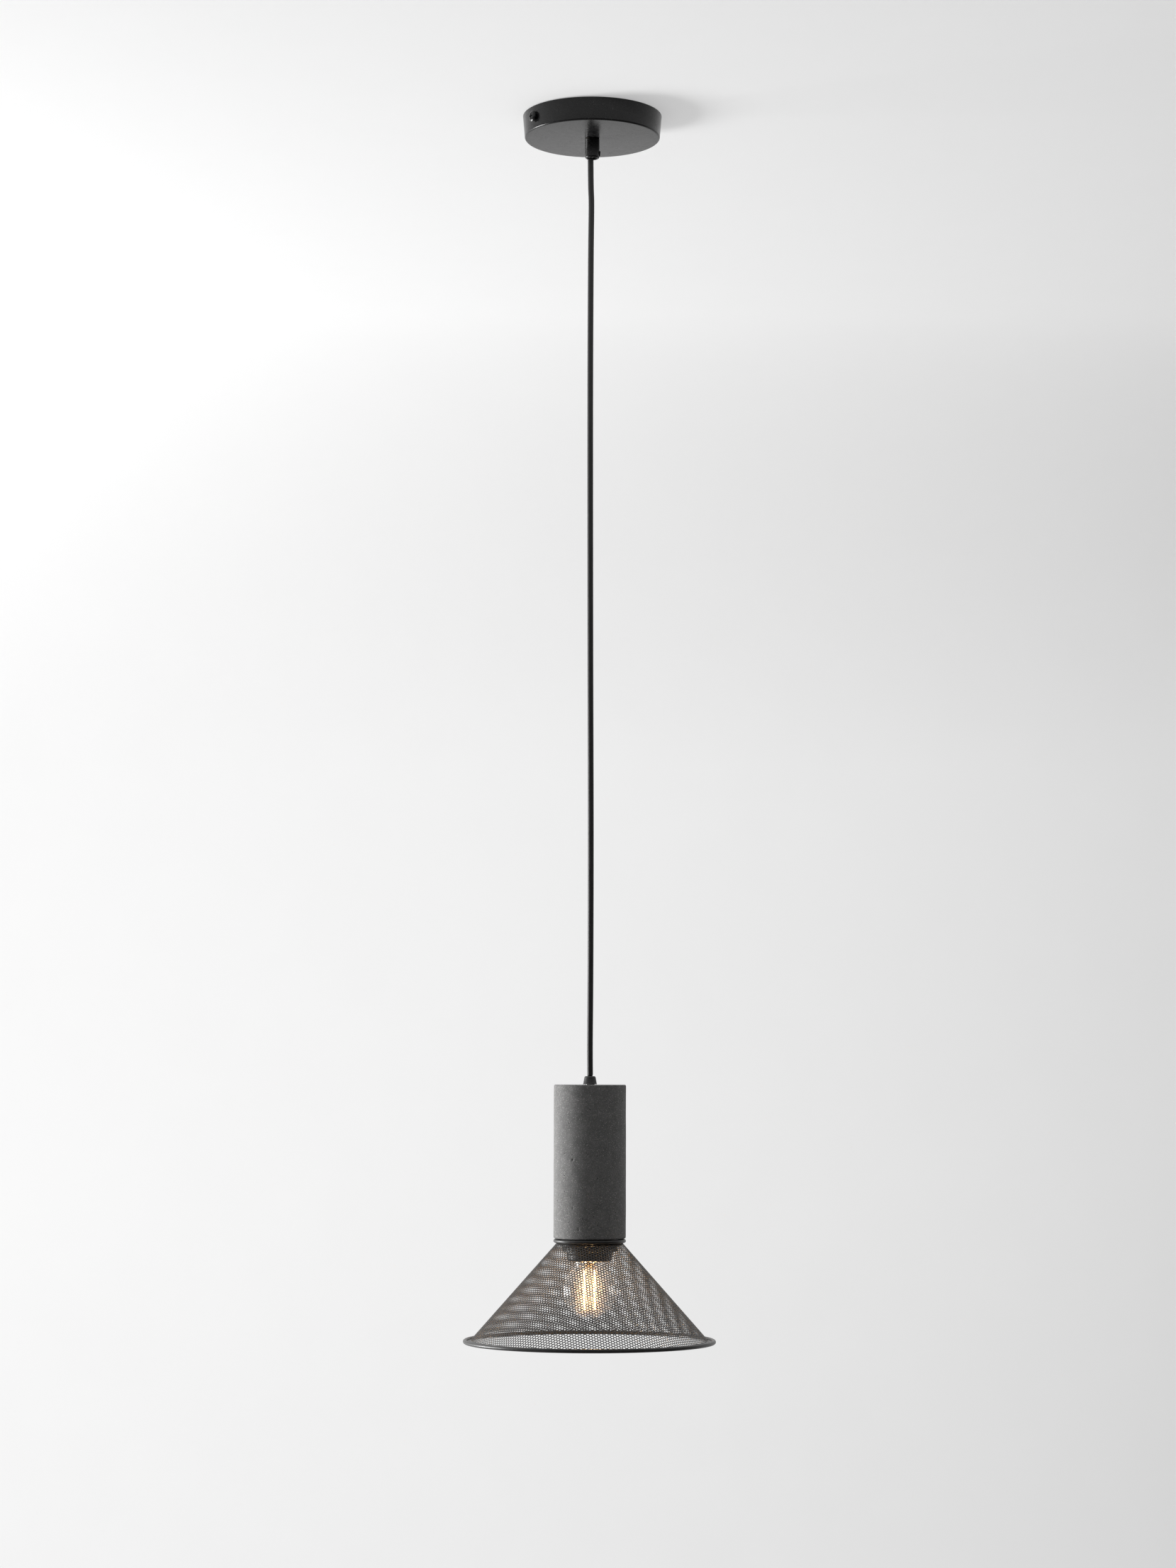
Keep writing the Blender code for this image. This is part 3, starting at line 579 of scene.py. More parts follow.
def mesh_from(name: str, points: np.ndarray, faces: list, smooth: float = 35.0) -> bpy.types.Object:
    """An object from points and faces, with doubles merged, normals out and smooth shading.

    Args:
        name: The object's name.
        points: Vertex positions in metres.
        faces: Vertex indices of each face.
        smooth: Angle in degrees above which an edge stays sharp.

    Returns:
        The new object, at the origin.
    """
    mesh = bpy.data.meshes.new(name)
    mesh.from_pydata([tuple(p) for p in points], [], faces)
    tidy = bmesh.new()
    tidy.from_mesh(mesh)
    bmesh.ops.remove_doubles(tidy, verts=tidy.verts, dist=1e-7)
    bmesh.ops.recalc_face_normals(tidy, faces=tidy.faces)
    tidy.to_mesh(mesh)
    tidy.free()
    mesh.shade_smooth()
    mesh.set_sharp_from_angle(angle=math.radians(smooth))
    item = bpy.data.objects.new(name, mesh)
    bpy.context.scene.collection.objects.link(item)
    return item


def revolve(name: str, outline: Outline, steps: int = 96, smooth: float = 35.0,
            centre: tuple[float, float, float] = (0.0, 0.0, 0.0)) -> bpy.types.Object:
    """Turns an outline round a vertical axis. An outline with an end off the axis is closed on itself.

    Args:
        name: The object's name.
        outline: (radius, level) points.
        steps: Steps around.
        smooth: Angle in degrees above which an edge stays sharp.
        centre: Where the axis stands.

    Returns:
        The new object.
    """
    rows = np.array(outline, float)
    closed = rows[0, 0] > 0.0 or rows[-1, 0] > 0.0
    angles = np.arange(steps) * math.tau / steps
    points = np.stack([
        rows[:, None, 0] * np.cos(angles) + centre[0],
        rows[:, None, 0] * np.sin(angles) + centre[1],
        np.repeat(rows[:, None, 1], steps, axis=1) + centre[2],
    ], axis=-1).reshape(-1, 3)
    count = len(rows)
    last = count if closed else count - 1
    faces = []
    for row in range(last):
        low, high = row * steps, (row + 1) % count * steps
        faces += [(low + k, low + (k + 1) % steps, high + (k + 1) % steps, high + k) for k in range(steps)]
    return mesh_from(name, points, faces, smooth)


def aimed(item: bpy.types.Object, direction: Sequence[float], at: Sequence[float]) -> bpy.types.Object:
    """Turns a mesh's +Z to a direction and moves it, within the mesh.

    Args:
        item: The object, whose own place stays at the origin.
        direction: Where its +Z goes.
        at: Where its origin goes.

    Returns:
        The same object.
    """
    turn = Vector(direction).to_track_quat("Z", "Y").to_matrix().to_4x4()
    item.data.transform(Matrix.Translation(Vector(at)) @ turn)
    return item


def joined(first: bpy.types.Object, *others: bpy.types.Object) -> bpy.types.Object:
    """Joins meshes into the first object.

    Args:
        first: The object that stays.
        others: Objects that go into it.

    Returns:
        The first object.
    """
    combined = bmesh.new()
    for item in (first, *others):
        combined.from_mesh(item.data)
    combined.to_mesh(first.data)
    combined.free()
    for item in others:
        bpy.data.objects.remove(item)
    first.data.shade_smooth()
    first.data.set_sharp_from_angle(angle=math.radians(35.0))
    return first


def hand_over(item: bpy.types.Object, body: str, finish: Finish,
              nodes: Sequence[str] = ()) -> bpy.types.Object:
    """Dresses a piece and gives it to its CAD body.

    Args:
        item: The finished piece.
        body: The CAD body that it moves with.
        finish: Its finish.
        nodes: CAD nodes that it stands for.

    Returns:
        The same piece.
    """
    item.data.materials.clear()
    item.data.materials.append(finish.material())
    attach(item, body)
    if nodes:
        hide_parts(*nodes)
    LOG.info("%s rides on %s", item.name, body)
    return item


def dress_node(node: str, finish: Finish) -> None:
    """Gives a carried-over CAD node its finish.

    Args:
        node: The node's name.
        finish: Its finish.
    """
    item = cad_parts[node]
    item.data.materials.clear()
    item.data.materials.append(finish.material())
    LOG.info("%s keeps its CAD mesh", node)


# ------------------------------------------------------------------ geometry node building blocks


class GeometrySheet:
    """Builds one Geometry Nodes tree and bakes it into a plain mesh."""

    def __init__(self, name: str, sizes: dict[str, float]) -> None:
        """Makes the tree with its named inputs.

        Args:
            name: The tree's name.
            sizes: Value of each named float input.
        """
        self.tree = bpy.data.node_groups.new(name, "GeometryNodeTree")
        face = self.tree.interface
        face.new_socket("Geometry", in_out="OUTPUT", socket_type="NodeSocketGeometry")
        face.new_socket("Geometry", in_out="INPUT", socket_type="NodeSocketGeometry")
        self.sockets = {label: face.new_socket(label, in_out="INPUT", socket_type="NodeSocketFloat")
                        for label in sizes}
        self.sockets["Finish"] = face.new_socket("Finish", in_out="INPUT", socket_type="NodeSocketMaterial")
        self.sizes = sizes
        self.entry = self.tree.nodes.new("NodeGroupInput")

    def size(self, label: str) -> bpy.types.NodeSocket:
        """The socket of a named input.

        Args:
            label: The input's name.

        Returns:
            The group input's socket.
        """
        return self.entry.outputs[label]

    def add(self, kind: str, inputs: Optional[dict] = None, **settings: object) -> bpy.types.Node:
        """Adds one node, as NodeSheet does.

        Args:
            kind: The node's type name.
            inputs: Values or sockets by input name or index.
            settings: The node's own properties.

        Returns:
            The new node.
        """
        return NodeSheet(self.tree).add(kind, inputs, **settings)

    def math(self, operation: str, *values: object) -> bpy.types.NodeSocket:
        """Adds a Math node, as NodeSheet does.

        Args:
            operation: The operation's name.
            values: Numbers or sockets, in order.

        Returns:
            Its output.
        """
        return NodeSheet(self.tree).math(operation, *values)

    def join(self, *parts: bpy.types.NodeSocket) -> bpy.types.NodeSocket:
        """Joins geometries.

        Args:
            parts: Geometry sockets.

        Returns:
            The joined geometry.
        """
        node = self.add("GeometryNodeJoinGeometry")
        for part in parts:
            self.tree.links.new(part, node.inputs[0])
        return node.outputs[0]

    def vector(self, x: object, y: object, z: object) -> bpy.types.NodeSocket:
        """Combines three numbers.

        Args:
            x: First value or socket.
            y: Second value or socket.
            z: Third value or socket.

        Returns:
            The vector socket.
        """
        return self.add("ShaderNodeCombineXYZ", {0: x, 1: y, 2: z}).outputs[0]

    def bake(self, name: str, geometry: bpy.types.NodeSocket, finish: Finish,
             smooth: float = 35.0) -> bpy.types.Object:
        """Ends the tree, runs it and returns a plain mesh object.

        Args:
            name: The object's name.
            geometry: The tree's last geometry.
            finish: The finish that the tree sets.
            smooth: Angle in degrees above which an edge stays sharp.

        Returns:
            The new object, without a modifier.
        """
        real = self.add("GeometryNodeRealizeInstances", {0: geometry}).outputs[0]
        dressed = self.add("GeometryNodeSetMaterial", {"Geometry": real, "Material": self.size("Finish")})
        self.add("NodeGroupOutput", {0: dressed.outputs[0]})
        seed = bpy.data.objects.new(f"{name}_seed", bpy.data.meshes.new(f"{name}_seed"))
        bpy.context.scene.collection.objects.link(seed)
        modifier = seed.modifiers.new("tree", "NODES")
        modifier.node_group = self.tree
        for label, value in {**self.sizes, "Finish": finish.material()}.items():
            modifier[self.sockets[label].identifier] = value
        bpy.context.view_layer.update()
        evaluated = seed.evaluated_get(bpy.context.evaluated_depsgraph_get())
        mesh = bpy.data.meshes.new_from_object(evaluated)
        bpy.data.objects.remove(seed)
        mesh.name = name
        mesh.shade_smooth()
        mesh.set_sharp_from_angle(angle=math.radians(smooth))
        item = bpy.data.objects.new(name, mesh)
        bpy.context.scene.collection.objects.link(item)
        return item


def thread_ridge(name: str, radius: float, top: float, foot: float, pitch: float, depth: float,
                 finish: Finish) -> bpy.types.Object:
    """A right-hand helical ridge, swept along a spiral by Geometry Nodes.

    Args:
        name: The object's name.
        radius: Radius of the ridge's middle.
        top: Its upper level.
        foot: Its lower level.
        pitch: Rise in one turn.
        depth: Radius of the ridge's round section.
        finish: Its finish.

    Returns:
        The ridge as a plain mesh.
    """
    turns = (top - foot) / pitch
    sheet = GeometrySheet("Thread", {"Radius": radius, "Height": top - foot, "Turns": turns, "Depth": depth,
                                     "Foot": foot})
    spiral = sheet.add("GeometryNodeCurveSpiral", {
        "Resolution": 48, "Rotations": sheet.size("Turns"), "Start Radius": sheet.size("Radius"),
        "End Radius": sheet.size("Radius"), "Height": sheet.size("Height"), "Reverse": True})
    section = sheet.add("GeometryNodeCurvePrimitiveCircle", {"Resolution": 8, "Radius": sheet.size("Depth")},
                        mode="RADIUS")
    swept = sheet.add("GeometryNodeCurveToMesh", {"Curve": spiral.outputs[0],
                                                  "Profile Curve": section.outputs[0], "Fill Caps": True})
    raised = sheet.add("GeometryNodeTransform", {"Geometry": swept.outputs[0],
                                                 "Translation": sheet.vector(0.0, 0.0, sheet.size("Foot"))})
    return sheet.bake(name, raised.outputs[0], finish, 60.0)


# ------------------------------------------------------------------ canopy and ceiling bracket


class Recess(Enum):
    """Drive recess of a screw head."""

    CROSS = "cross"
    HEXAGON = "hexagon"


@dataclass
class Screw:
    """A screw with a domed head, a real drive recess and a threaded shank."""

    head_radius: float
    head_height: float
    shank_radius: float
    shank_length: float
    recess: Recess
    recess_size: float
    recess_depth: float
    pitch: float

    def recess_mask(self, x: np.ndarray, y: np.ndarray) -> np.ndarray:
        """How much of the recess's depth is cut at each place.

        Args:
            x: First coordinate on the head.
            y: Second coordinate on the head.

        Returns:
            Shares from 0 to 1.
        """
        if self.recess is Recess.CROSS:
            half = 0.17 * self.recess_size
            arms = [np.maximum(np.abs(a) / self.recess_size, np.abs(b) / half) for a, b in ((x, y), (y, x))]
            inside = np.minimum(arms[0], arms[1])
        else:
            sides = [np.abs(x * math.cos(a) + y * math.sin(a)) for a in (0.0, math.pi / 3, 2 * math.pi / 3)]
            inside = np.max(sides, axis=0) / self.recess_size
        return np.clip((1.12 - inside) / 0.22, 0.0, 1.0)

    def build(self, name: str, finish: Finish) -> bpy.types.Object:
        """Makes the screw along +Z, with its head's seat at level 0.

        Args:
            name: The object's name.
            finish: Its finish.

        Returns:
            The screw.
        """
        rings, steps = 22, 96
        reach = np.linspace(0.0, 1.0, rings + 1)[1:]
        angles = np.arange(steps) * math.tau / steps
        radius = reach[:, None] * self.head_radius
        x, y = radius * np.cos(angles), radius * np.sin(angles)
        dome = self.head_height * (1.0 - 0.55 * reach[:, None] ** 4) + 0.0 * x
        level = dome - self.recess_depth * self.recess_mask(x, y)
        top = np.stack([x, y, level], axis=-1).reshape(-1, 3)
        centre = np.array([[0.0, 0.0, self.head_height - self.recess_depth]])
        rows = [(self.head_radius, 0.0), (self.shank_radius, 0.0),
                (self.shank_radius, 0.4 * self.shank_radius - self.shank_length),
                (0.6 * self.shank_radius, -self.shank_length)]
        under = np.array([[r * math.cos(a), r * math.sin(a), z] for r, z in rows for a in angles])
        points = np.concatenate([centre, top, under, [[0.0, 0.0, -self.shank_length]]])
        faces = [(0, 1 + k, 1 + (k + 1) % steps) for k in range(steps)]
        for row in range(rings + len(rows) - 1):
            low, high = 1 + row * steps, 1 + (row + 1) * steps
            faces += [(low + k, high + k, high + (k + 1) % steps, low + (k + 1) % steps)
                      for k in range(steps)]
        end = 1 + (rings + len(rows) - 1) * steps
        faces += [(end + (k + 1) % steps, end + k, len(points) - 1) for k in range(steps)]
        body = mesh_from(name, points, faces, 28.0)
        ridge = thread_ridge(f"{name}_thread", self.shank_radius, -1.2 * self.pitch,
                             0.8 * self.pitch - self.shank_length, self.pitch, 0.28 * self.pitch, finish)
        return joined(body, ridge)


def hexagon_nut(name: str, across: float, height: float, bore: float) -> bpy.types.Object:
    """A nut with a real hexagon, chamfered corners and a bore.

    Args:
        name: The object's name.
        across: Size across flats.
        height: Its height.
        bore: Radius of its bore.

    Returns:
        The nut, standing from level 0 along +Z.
    """
    steps = 72
    angles = np.arange(steps) * math.tau / steps
    to_flat = (angles + math.pi / 6) % (math.pi / 3) - math.pi / 6
    hexagon = across / 2 / np.cos(to_flat)
    chamfer = np.maximum(0.0, hexagon - 0.515 * across) * 0.8
    face = np.minimum(hexagon, 0.5 * across)
    thread = 0.25 * MM
    rings = [(face, 0.0), (hexagon, chamfer), (hexagon, height - chamfer), (face, height),
             (bore + thread, height), (bore, height - thread), (bore, thread), (bore + thread, 0.0)]
    points = np.concatenate([
        np.stack([r * np.cos(angles), r * np.sin(angles), z + 0.0 * angles], axis=-1) for r, z in rings])
    faces = []
    for row in range(len(rings)):
        low, high = row * steps, (row + 1) % len(rings) * steps
        faces += [(low + k, low + (k + 1) % steps, high + (k + 1) % steps, high + k) for k in range(steps)]
    return mesh_from(name, points, faces, 25.0)


@dataclass
class Canopy:
    """Spun cup under the ceiling with its two side screws and their captive nuts."""

    body: str = "canopy"
    edge: float = 1.4 * MM
    sheet: float = 0.8 * MM
    rim_roll: float = 0.35 * MM
    foot_draft: float = 1.5 * MM
    nipple_hole: float = 5.3 * MM
    nut_across: float = 7.0 * MM
    nut_height: float = 3.2 * MM
    nut_bore: float = 2.05 * MM
    screw: Screw = field(default_factory=lambda: Screw(
        4.7 * MM, 2.0 * MM, 1.9 * MM, 13.0 * MM, Recess.CROSS, 2.3 * MM, 1.3 * MM, 0.7 * MM))

    def build(self) -> None:
        """Makes and hands over the cover, screws and nuts."""
        low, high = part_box("canopy_cover")
        radius, foot_radius, foot = high.x, high.x - self.foot_draft, low.z
        outline = [(radius - self.rim_roll, high.z)]
        outline += arc((radius - self.rim_roll, high.z - self.rim_roll), self.rim_roll, 80, 0, 4)
        outline += arc((foot_radius - self.edge, foot + self.edge), self.edge, 0, -90, 10)
        outline += [(self.nipple_hole, foot), (self.nipple_hole, foot + self.sheet)]
        outline += arc((foot_radius - self.edge, foot + self.edge), self.edge - self.sheet, -90, 0, 6)
        outline += [(radius - self.sheet, high.z)]
        cover = revolve("canopy_shell", outline, 256)
        hand_over(cover, self.body, Finishes.coat, ["canopy_cover"])
        for name in ("front", "back"):
            self.fasten(name)

    def fasten(self, name: str) -> None:
        """Makes one side screw and its nut.

        Args:
            name: Which side it is on.
        """
        low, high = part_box(f"side_screw_{name}")
        outward = Vector(((low.x + high.x) / 2, (low.y + high.y) / 2, 0.0)).normalized()
        level = (low.z + high.z) / 2
        corners = [abs(outward.x) * abs(x) + abs(outward.y) * abs(y)
                   for x in (low.x, high.x) for y in (low.y, high.y)]
        half = 0.5 * (self.screw.shank_length + self.screw.head_height)
        seat = 0.5 * (max(corners) + min(corners)) + half - self.screw.head_height
        screw = self.screw.build(f"pan_screw_{name}", Finishes.coat)
        aimed(screw, outward, outward * seat + Vector((0.0, 0.0, level)))
        hand_over(screw, self.body, Finishes.coat, [f"side_screw_{name}"])
        nut_low, nut_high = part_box(f"side_nut_{name}")
        middle = (nut_low + nut_high) / 2
        nut = hexagon_nut(f"captive_nut_{name}", self.nut_across, self.nut_height, self.nut_bore)
        aimed(nut, outward, middle - outward * (self.nut_height / 2))
        hand_over(nut, self.body, Finishes.zinc, [f"side_nut_{name}"])


@dataclass
class CordGrip:
    """Cylindrical grip under the canopy, its set screw, and the threaded nipple that holds it."""

    body: str = "canopy"
    foot_edge: float = 1.6 * MM
    bore: float = 4.3 * MM
    thread_radius: float = 5.0 * MM
    set_screw: Screw = field(default_factory=lambda: Screw(
        2.5 * MM, 0.9 * MM, 1.3 * MM, 4.8 * MM, Recess.HEXAGON, 0.95 * MM, 0.6 * MM, 0.5 * MM))

    def build(self) -> None:
        """Makes and hands over the grip, its set screw and its fixings."""
        low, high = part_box("cord_grip")
        radius, edge = high.x, self.foot_edge
        outline = [(radius - 0.3 * MM, high.z), (radius, high.z - 0.3 * MM)]
        outline += arc((radius - edge, low.z + edge), edge, 0, -80, 8)
        outline += [(self.bore + 0.5 * MM, low.z), (self.bore, low.z + 0.4 * MM)]
        outline += [(self.bore, high.z - 4.5 * MM), (self.thread_radius + 0.3 * MM, high.z - 4.5 * MM)]
        outline += [(self.thread_radius + 0.3 * MM, high.z)]
        grip = revolve("grip_barrel", outline, 96)
        hand_over(grip, self.body, Finishes.coat, ["cord_grip"])
        screw_low, screw_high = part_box("set_screw")
        screw = self.set_screw.build("grip_set_screw", Finishes.coat)
        level = (screw_low.z + screw_high.z) / 2
        aimed(screw, (1.0, 0.0, 0.0), (screw_high.x - self.set_screw.head_height, 0.0, level))
        hand_over(screw, self.body, Finishes.coat, ["set_screw"])
        self.build_nipple()

    def build_nipple(self) -> None:
        """Makes the nipple with its thread, its washer and its nut."""
        low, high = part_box("grip_nipple")
        radius, pitch = self.thread_radius - 0.25 * MM, 1.0 * MM
        outline = [(radius, high.z), (radius, low.z), (self.bore, low.z), (self.bore, high.z)]
        tube = revolve("nipple_tube", outline, 64)
        ridge = thread_ridge("nipple_ridge", radius, high.z - 0.6 * MM, low.z + 0.6 * MM, pitch, 0.26 * MM,
                             Finishes.brass)
        hand_over(joined(tube, ridge), self.body, Finishes.brass, ["grip_nipple"])
        low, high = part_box("nipple_nut")
        nut = hexagon_nut("nipple_hex_nut", high.x - low.x, high.z - low.z, self.thread_radius)
        aimed(nut, (0.0, 0.0, 1.0), (0.0, 0.0, low.z))
        hand_over(nut, self.body, Finishes.brass, ["nipple_nut"])
        dress_node("nipple_washer", Finishes.zinc)


@dataclass
class CanopyInside:
    """Ceiling bracket, terminal block and the two cores."""

    def build(self) -> None:
        """Dresses the pieces that the canopy hides."""
        dress_node("ceiling_bracket", Finishes.zinc)
        dress_node("terminal_block", Finishes.nylon)
        dress_node("terminal_tube_live", Finishes.brass)
        dress_node("terminal_tube_neutral", Finishes.brass)
        dress_node("core_live", Finishes.brown_core)
        dress_node("core_neutral", Finishes.blue_core)
        dress_node("cord_upper_end", Finishes.sheath)
        dress_node("cord_lower_end", Finishes.sheath)


# ------------------------------------------------------------------ cord


@dataclass
class HangingCord:
    """The nearly straight black cord between the grip and the strain relief."""

    body: str = "cord"
    radius: float = 2.5 * MM
    pivot_clearance: float = 1.5 * MM
    offset: float = -1.4 * MM
    route: Sequence[tuple[float, float]] = (
        (-0.00110, -0.0620), (-0.00060, -0.0800), (-0.00100, -0.1300), (-0.00120, -0.2500),
        (-0.00065, -0.4500), (0.00015, -0.6200), (0.00015, -0.7400), (-0.00015, -0.8000))

    def centreline(self, count: int) -> np.ndarray:
        """Evenly spaced points on a smooth curve through the route.

        Args:
            count: Number of points.

        Returns:
            Points from the upper pivot to the lower one.
        """
        upper = (self.offset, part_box("cord_grip")[0].z - self.pivot_clearance)
        lower = (0.0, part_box("strain_relief")[1].z + self.pivot_clearance)
        knots = np.array([(x, 0.0, z) for x, z in (upper, *self.route, lower)])
        knots = np.vstack([2 * knots[0] - knots[1], knots, 2 * knots[-1] - knots[-2]])
        fine = []
        for a, b, c, d in zip(knots, knots[1:], knots[2:], knots[3:]):
            for t in np.linspace(0.0, 1.0, 24, endpoint=False):
                fine.append(0.5 * (2 * b + (c - a) * t + (2 * a - 5 * b + 4 * c - d) * t**2
                                   + (3 * b - a - 3 * c + d) * t**3))
        fine = np.array(fine + [knots[-2]])
        along = np.concatenate([[0.0], np.cumsum(np.linalg.norm(np.diff(fine, axis=0), axis=1))])
        at = np.linspace(0.0, along[-1], count)
        return np.stack([np.interp(at, along, fine[:, k]) for k in range(3)], axis=1)

    def build(self) -> None:
        line = self.centreline(220)
        dome = np.radians([84.0, 66.0, 48.0, 32.0, 16.0])
        rise = self.radius * np.sin(dome)
        above = line[0] + np.outer(rise, (0.0, 0.0, 1.0))
        below = line[-1] - np.outer(rise[::-1], (0.0, 0.0, 1.0))
        points = np.vstack([above, line, below])
        weights = [*np.cos(dome), *([1.0] * len(line)), *np.cos(dome[::-1])]
        data = bpy.data.curves.new("hanging_cord", "CURVE")
        data.dimensions = "3D"
        data.bevel_depth = self.radius
        data.bevel_resolution = 6
        data.use_fill_caps = True
        spline = data.splines.new("POLY")
        spline.points.add(len(points) - 1)
        for point, place, weight in zip(spline.points, points, weights):
            point.co = (*place, 1.0)
            point.radius = weight
        cord = bpy.data.objects.new("hanging_cord", data)
        bpy.context.scene.collection.objects.link(cord)
        hand_over(cord, self.body, Finishes.sheath, ["cord"])


# ------------------------------------------------------------------ lamp body


@dataclass
class ConcreteCylinder:
    """Cast cylinder with softly broken edges and real pits in its side."""

    body: str = "lamp"
    edge: float = 1.2 * MM
    bore: float = 22.0 * MM
    roof: float = 14.0 * MM
    tube_hole: float = 4.3 * MM
    pit_count: int = 42
    seed: int = 11

    def relief(self, angles: np.ndarray, levels: np.ndarray, radius: float) -> np.ndarray:
        """How far the cast surface lies under its true cylinder.

        Args:
            angles: Angle of every point.
            levels: Level of every point.
            radius: The cylinder's radius.

        Returns:
            Depths in metres.
        """
        draw = np.random.default_rng(self.seed)
        waves = sum(a * np.sin(f * angles + g * levels / MM + p) for a, f, g, p in (
            (0.035, 3, 0.05, 0.3), (0.025, 7, -0.11, 1.7), (0.02, 12, 0.2, 4.1), (0.012, 25, -0.43, 2.2)))
        depth = (0.09 + waves) * MM
        low, high = levels.min(), levels.max()
        for _ in range(self.pit_count):
            at, level = draw.uniform(0.0, math.tau), draw.uniform(low, high)
            size, deep = draw.uniform(0.35, 0.95) * MM, draw.uniform(0.25, 0.7) * MM
            across = (np.mod(angles - at + math.pi, math.tau) - math.pi) * radius
            away = np.hypot(across, levels - level) / size
            depth = depth + deep * np.exp(-np.minimum(away, 4.0) ** 4)
        return depth

    def build(self) -> None:
        """Makes the cylinder and hands it over."""
        low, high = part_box("concrete_body")
        radius, edge = high.x, self.edge
        side = [(radius, z) for z in np.linspace(high.z - edge, low.z + edge, 200)]
        outline = [(self.tube_hole, high.z)] + [(r, high.z) for r in np.linspace(8.0, 28.5, 14) * MM]
        outline += arc((radius - edge, high.z - edge), edge, 90, 8, 5)
        outline += side
        outline += arc((radius - edge, low.z + edge), edge, -8, -90, 5)
        outline += [(self.bore + 0.8 * MM, low.z), (self.bore, low.z + 0.8 * MM)]
        outline += [(self.bore, high.z - self.roof), (self.tube_hole, high.z - self.roof)]
        item = revolve("concrete_cylinder", outline, 320, 50.0)
        mesh = item.data
        points = np.empty(len(mesh.vertices) * 3)
        mesh.vertices.foreach_get("co", points)
        points = points.reshape(-1, 3)
        reach = np.hypot(points[:, 0], points[:, 1])
        outer = reach > self.bore + 2.0 * MM
        angles = np.arctan2(points[outer, 1], points[outer, 0])
        depth = self.relief(angles, points[outer, 2], radius)
        scale = (reach[outer] - depth) / reach[outer]
        points[outer, :2] *= scale[:, None]
        mesh.vertices.foreach_set("co", points.reshape(-1))
        mesh.update()
        hand_over(item, self.body, Finishes.concrete, ["concrete_body"])


@dataclass
class LampFixings:
    """Strain relief, hanger tube and the nuts that hold the lampholder under the concrete's roof."""

    body: str = "lamp"
    top_edge: float = 1.5 * MM
    cord_hole: float = 2.75 * MM
    relief_radii: tuple[float, float] = (4.85 * MM, 6.0 * MM)
    tube_radius: float = 4.0 * MM
    tube_bore: float = 2.9 * MM

    def build(self) -> None:
        """Makes and hands over the strain relief, tube and nuts."""
        low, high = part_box("strain_relief")
        (top, foot), edge = self.relief_radii, self.top_edge
        outline = [(self.cord_hole, high.z - 0.4 * MM), (self.cord_hole + 0.5 * MM, high.z)]
        outline += arc((top - edge, high.z - edge), edge, 80, 8, 7)
        outline += [(foot - 0.25 * MM, low.z + 0.5 * MM), (foot, low.z + 0.2 * MM)]
        outline += [(foot - 0.2 * MM, low.z), (self.tube_radius + 0.3 * MM, low.z)]
        outline += [(self.tube_radius + 0.3 * MM, high.z - 3.0 * MM), (self.cord_hole, high.z - 3.0 * MM)]
        hand_over(revolve("tapered_relief", outline, 96), self.body, Finishes.relief,
                  ["strain_relief"])
        self.build_tube()
        for name, piece in (("tube_nut", "roof_nut"), ("holder_lock_nut", "lock_nut")):
            nut_low, nut_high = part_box(name)
            nut = hexagon_nut(piece, nut_high.x - nut_low.x, nut_high.z - nut_low.z, self.tube_radius)
            aimed(nut, (0.0, 0.0, 1.0), (0.0, 0.0, nut_low.z))
            hand_over(nut, self.body, Finishes.zinc, [name])
        dress_node("tube_washer", Finishes.zinc)

    def build_tube(self) -> None:
        """Makes the hanger tube with its thread."""
        low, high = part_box("hanger_tube")
        radius = self.tube_radius - 0.22 * MM
        outline = [(radius, high.z), (radius, low.z), (self.tube_bore, low.z), (self.tube_bore, high.z)]
        tube = revolve("threaded_tube", outline, 64)
        ridge = thread_ridge("tube_ridge", radius, high.z - 0.8 * MM, low.z + 0.8 * MM, 1.0 * MM, 0.24 * MM,
                             Finishes.zinc)
        hand_over(joined(tube, ridge), self.body, Finishes.zinc, ["hanger_tube"])


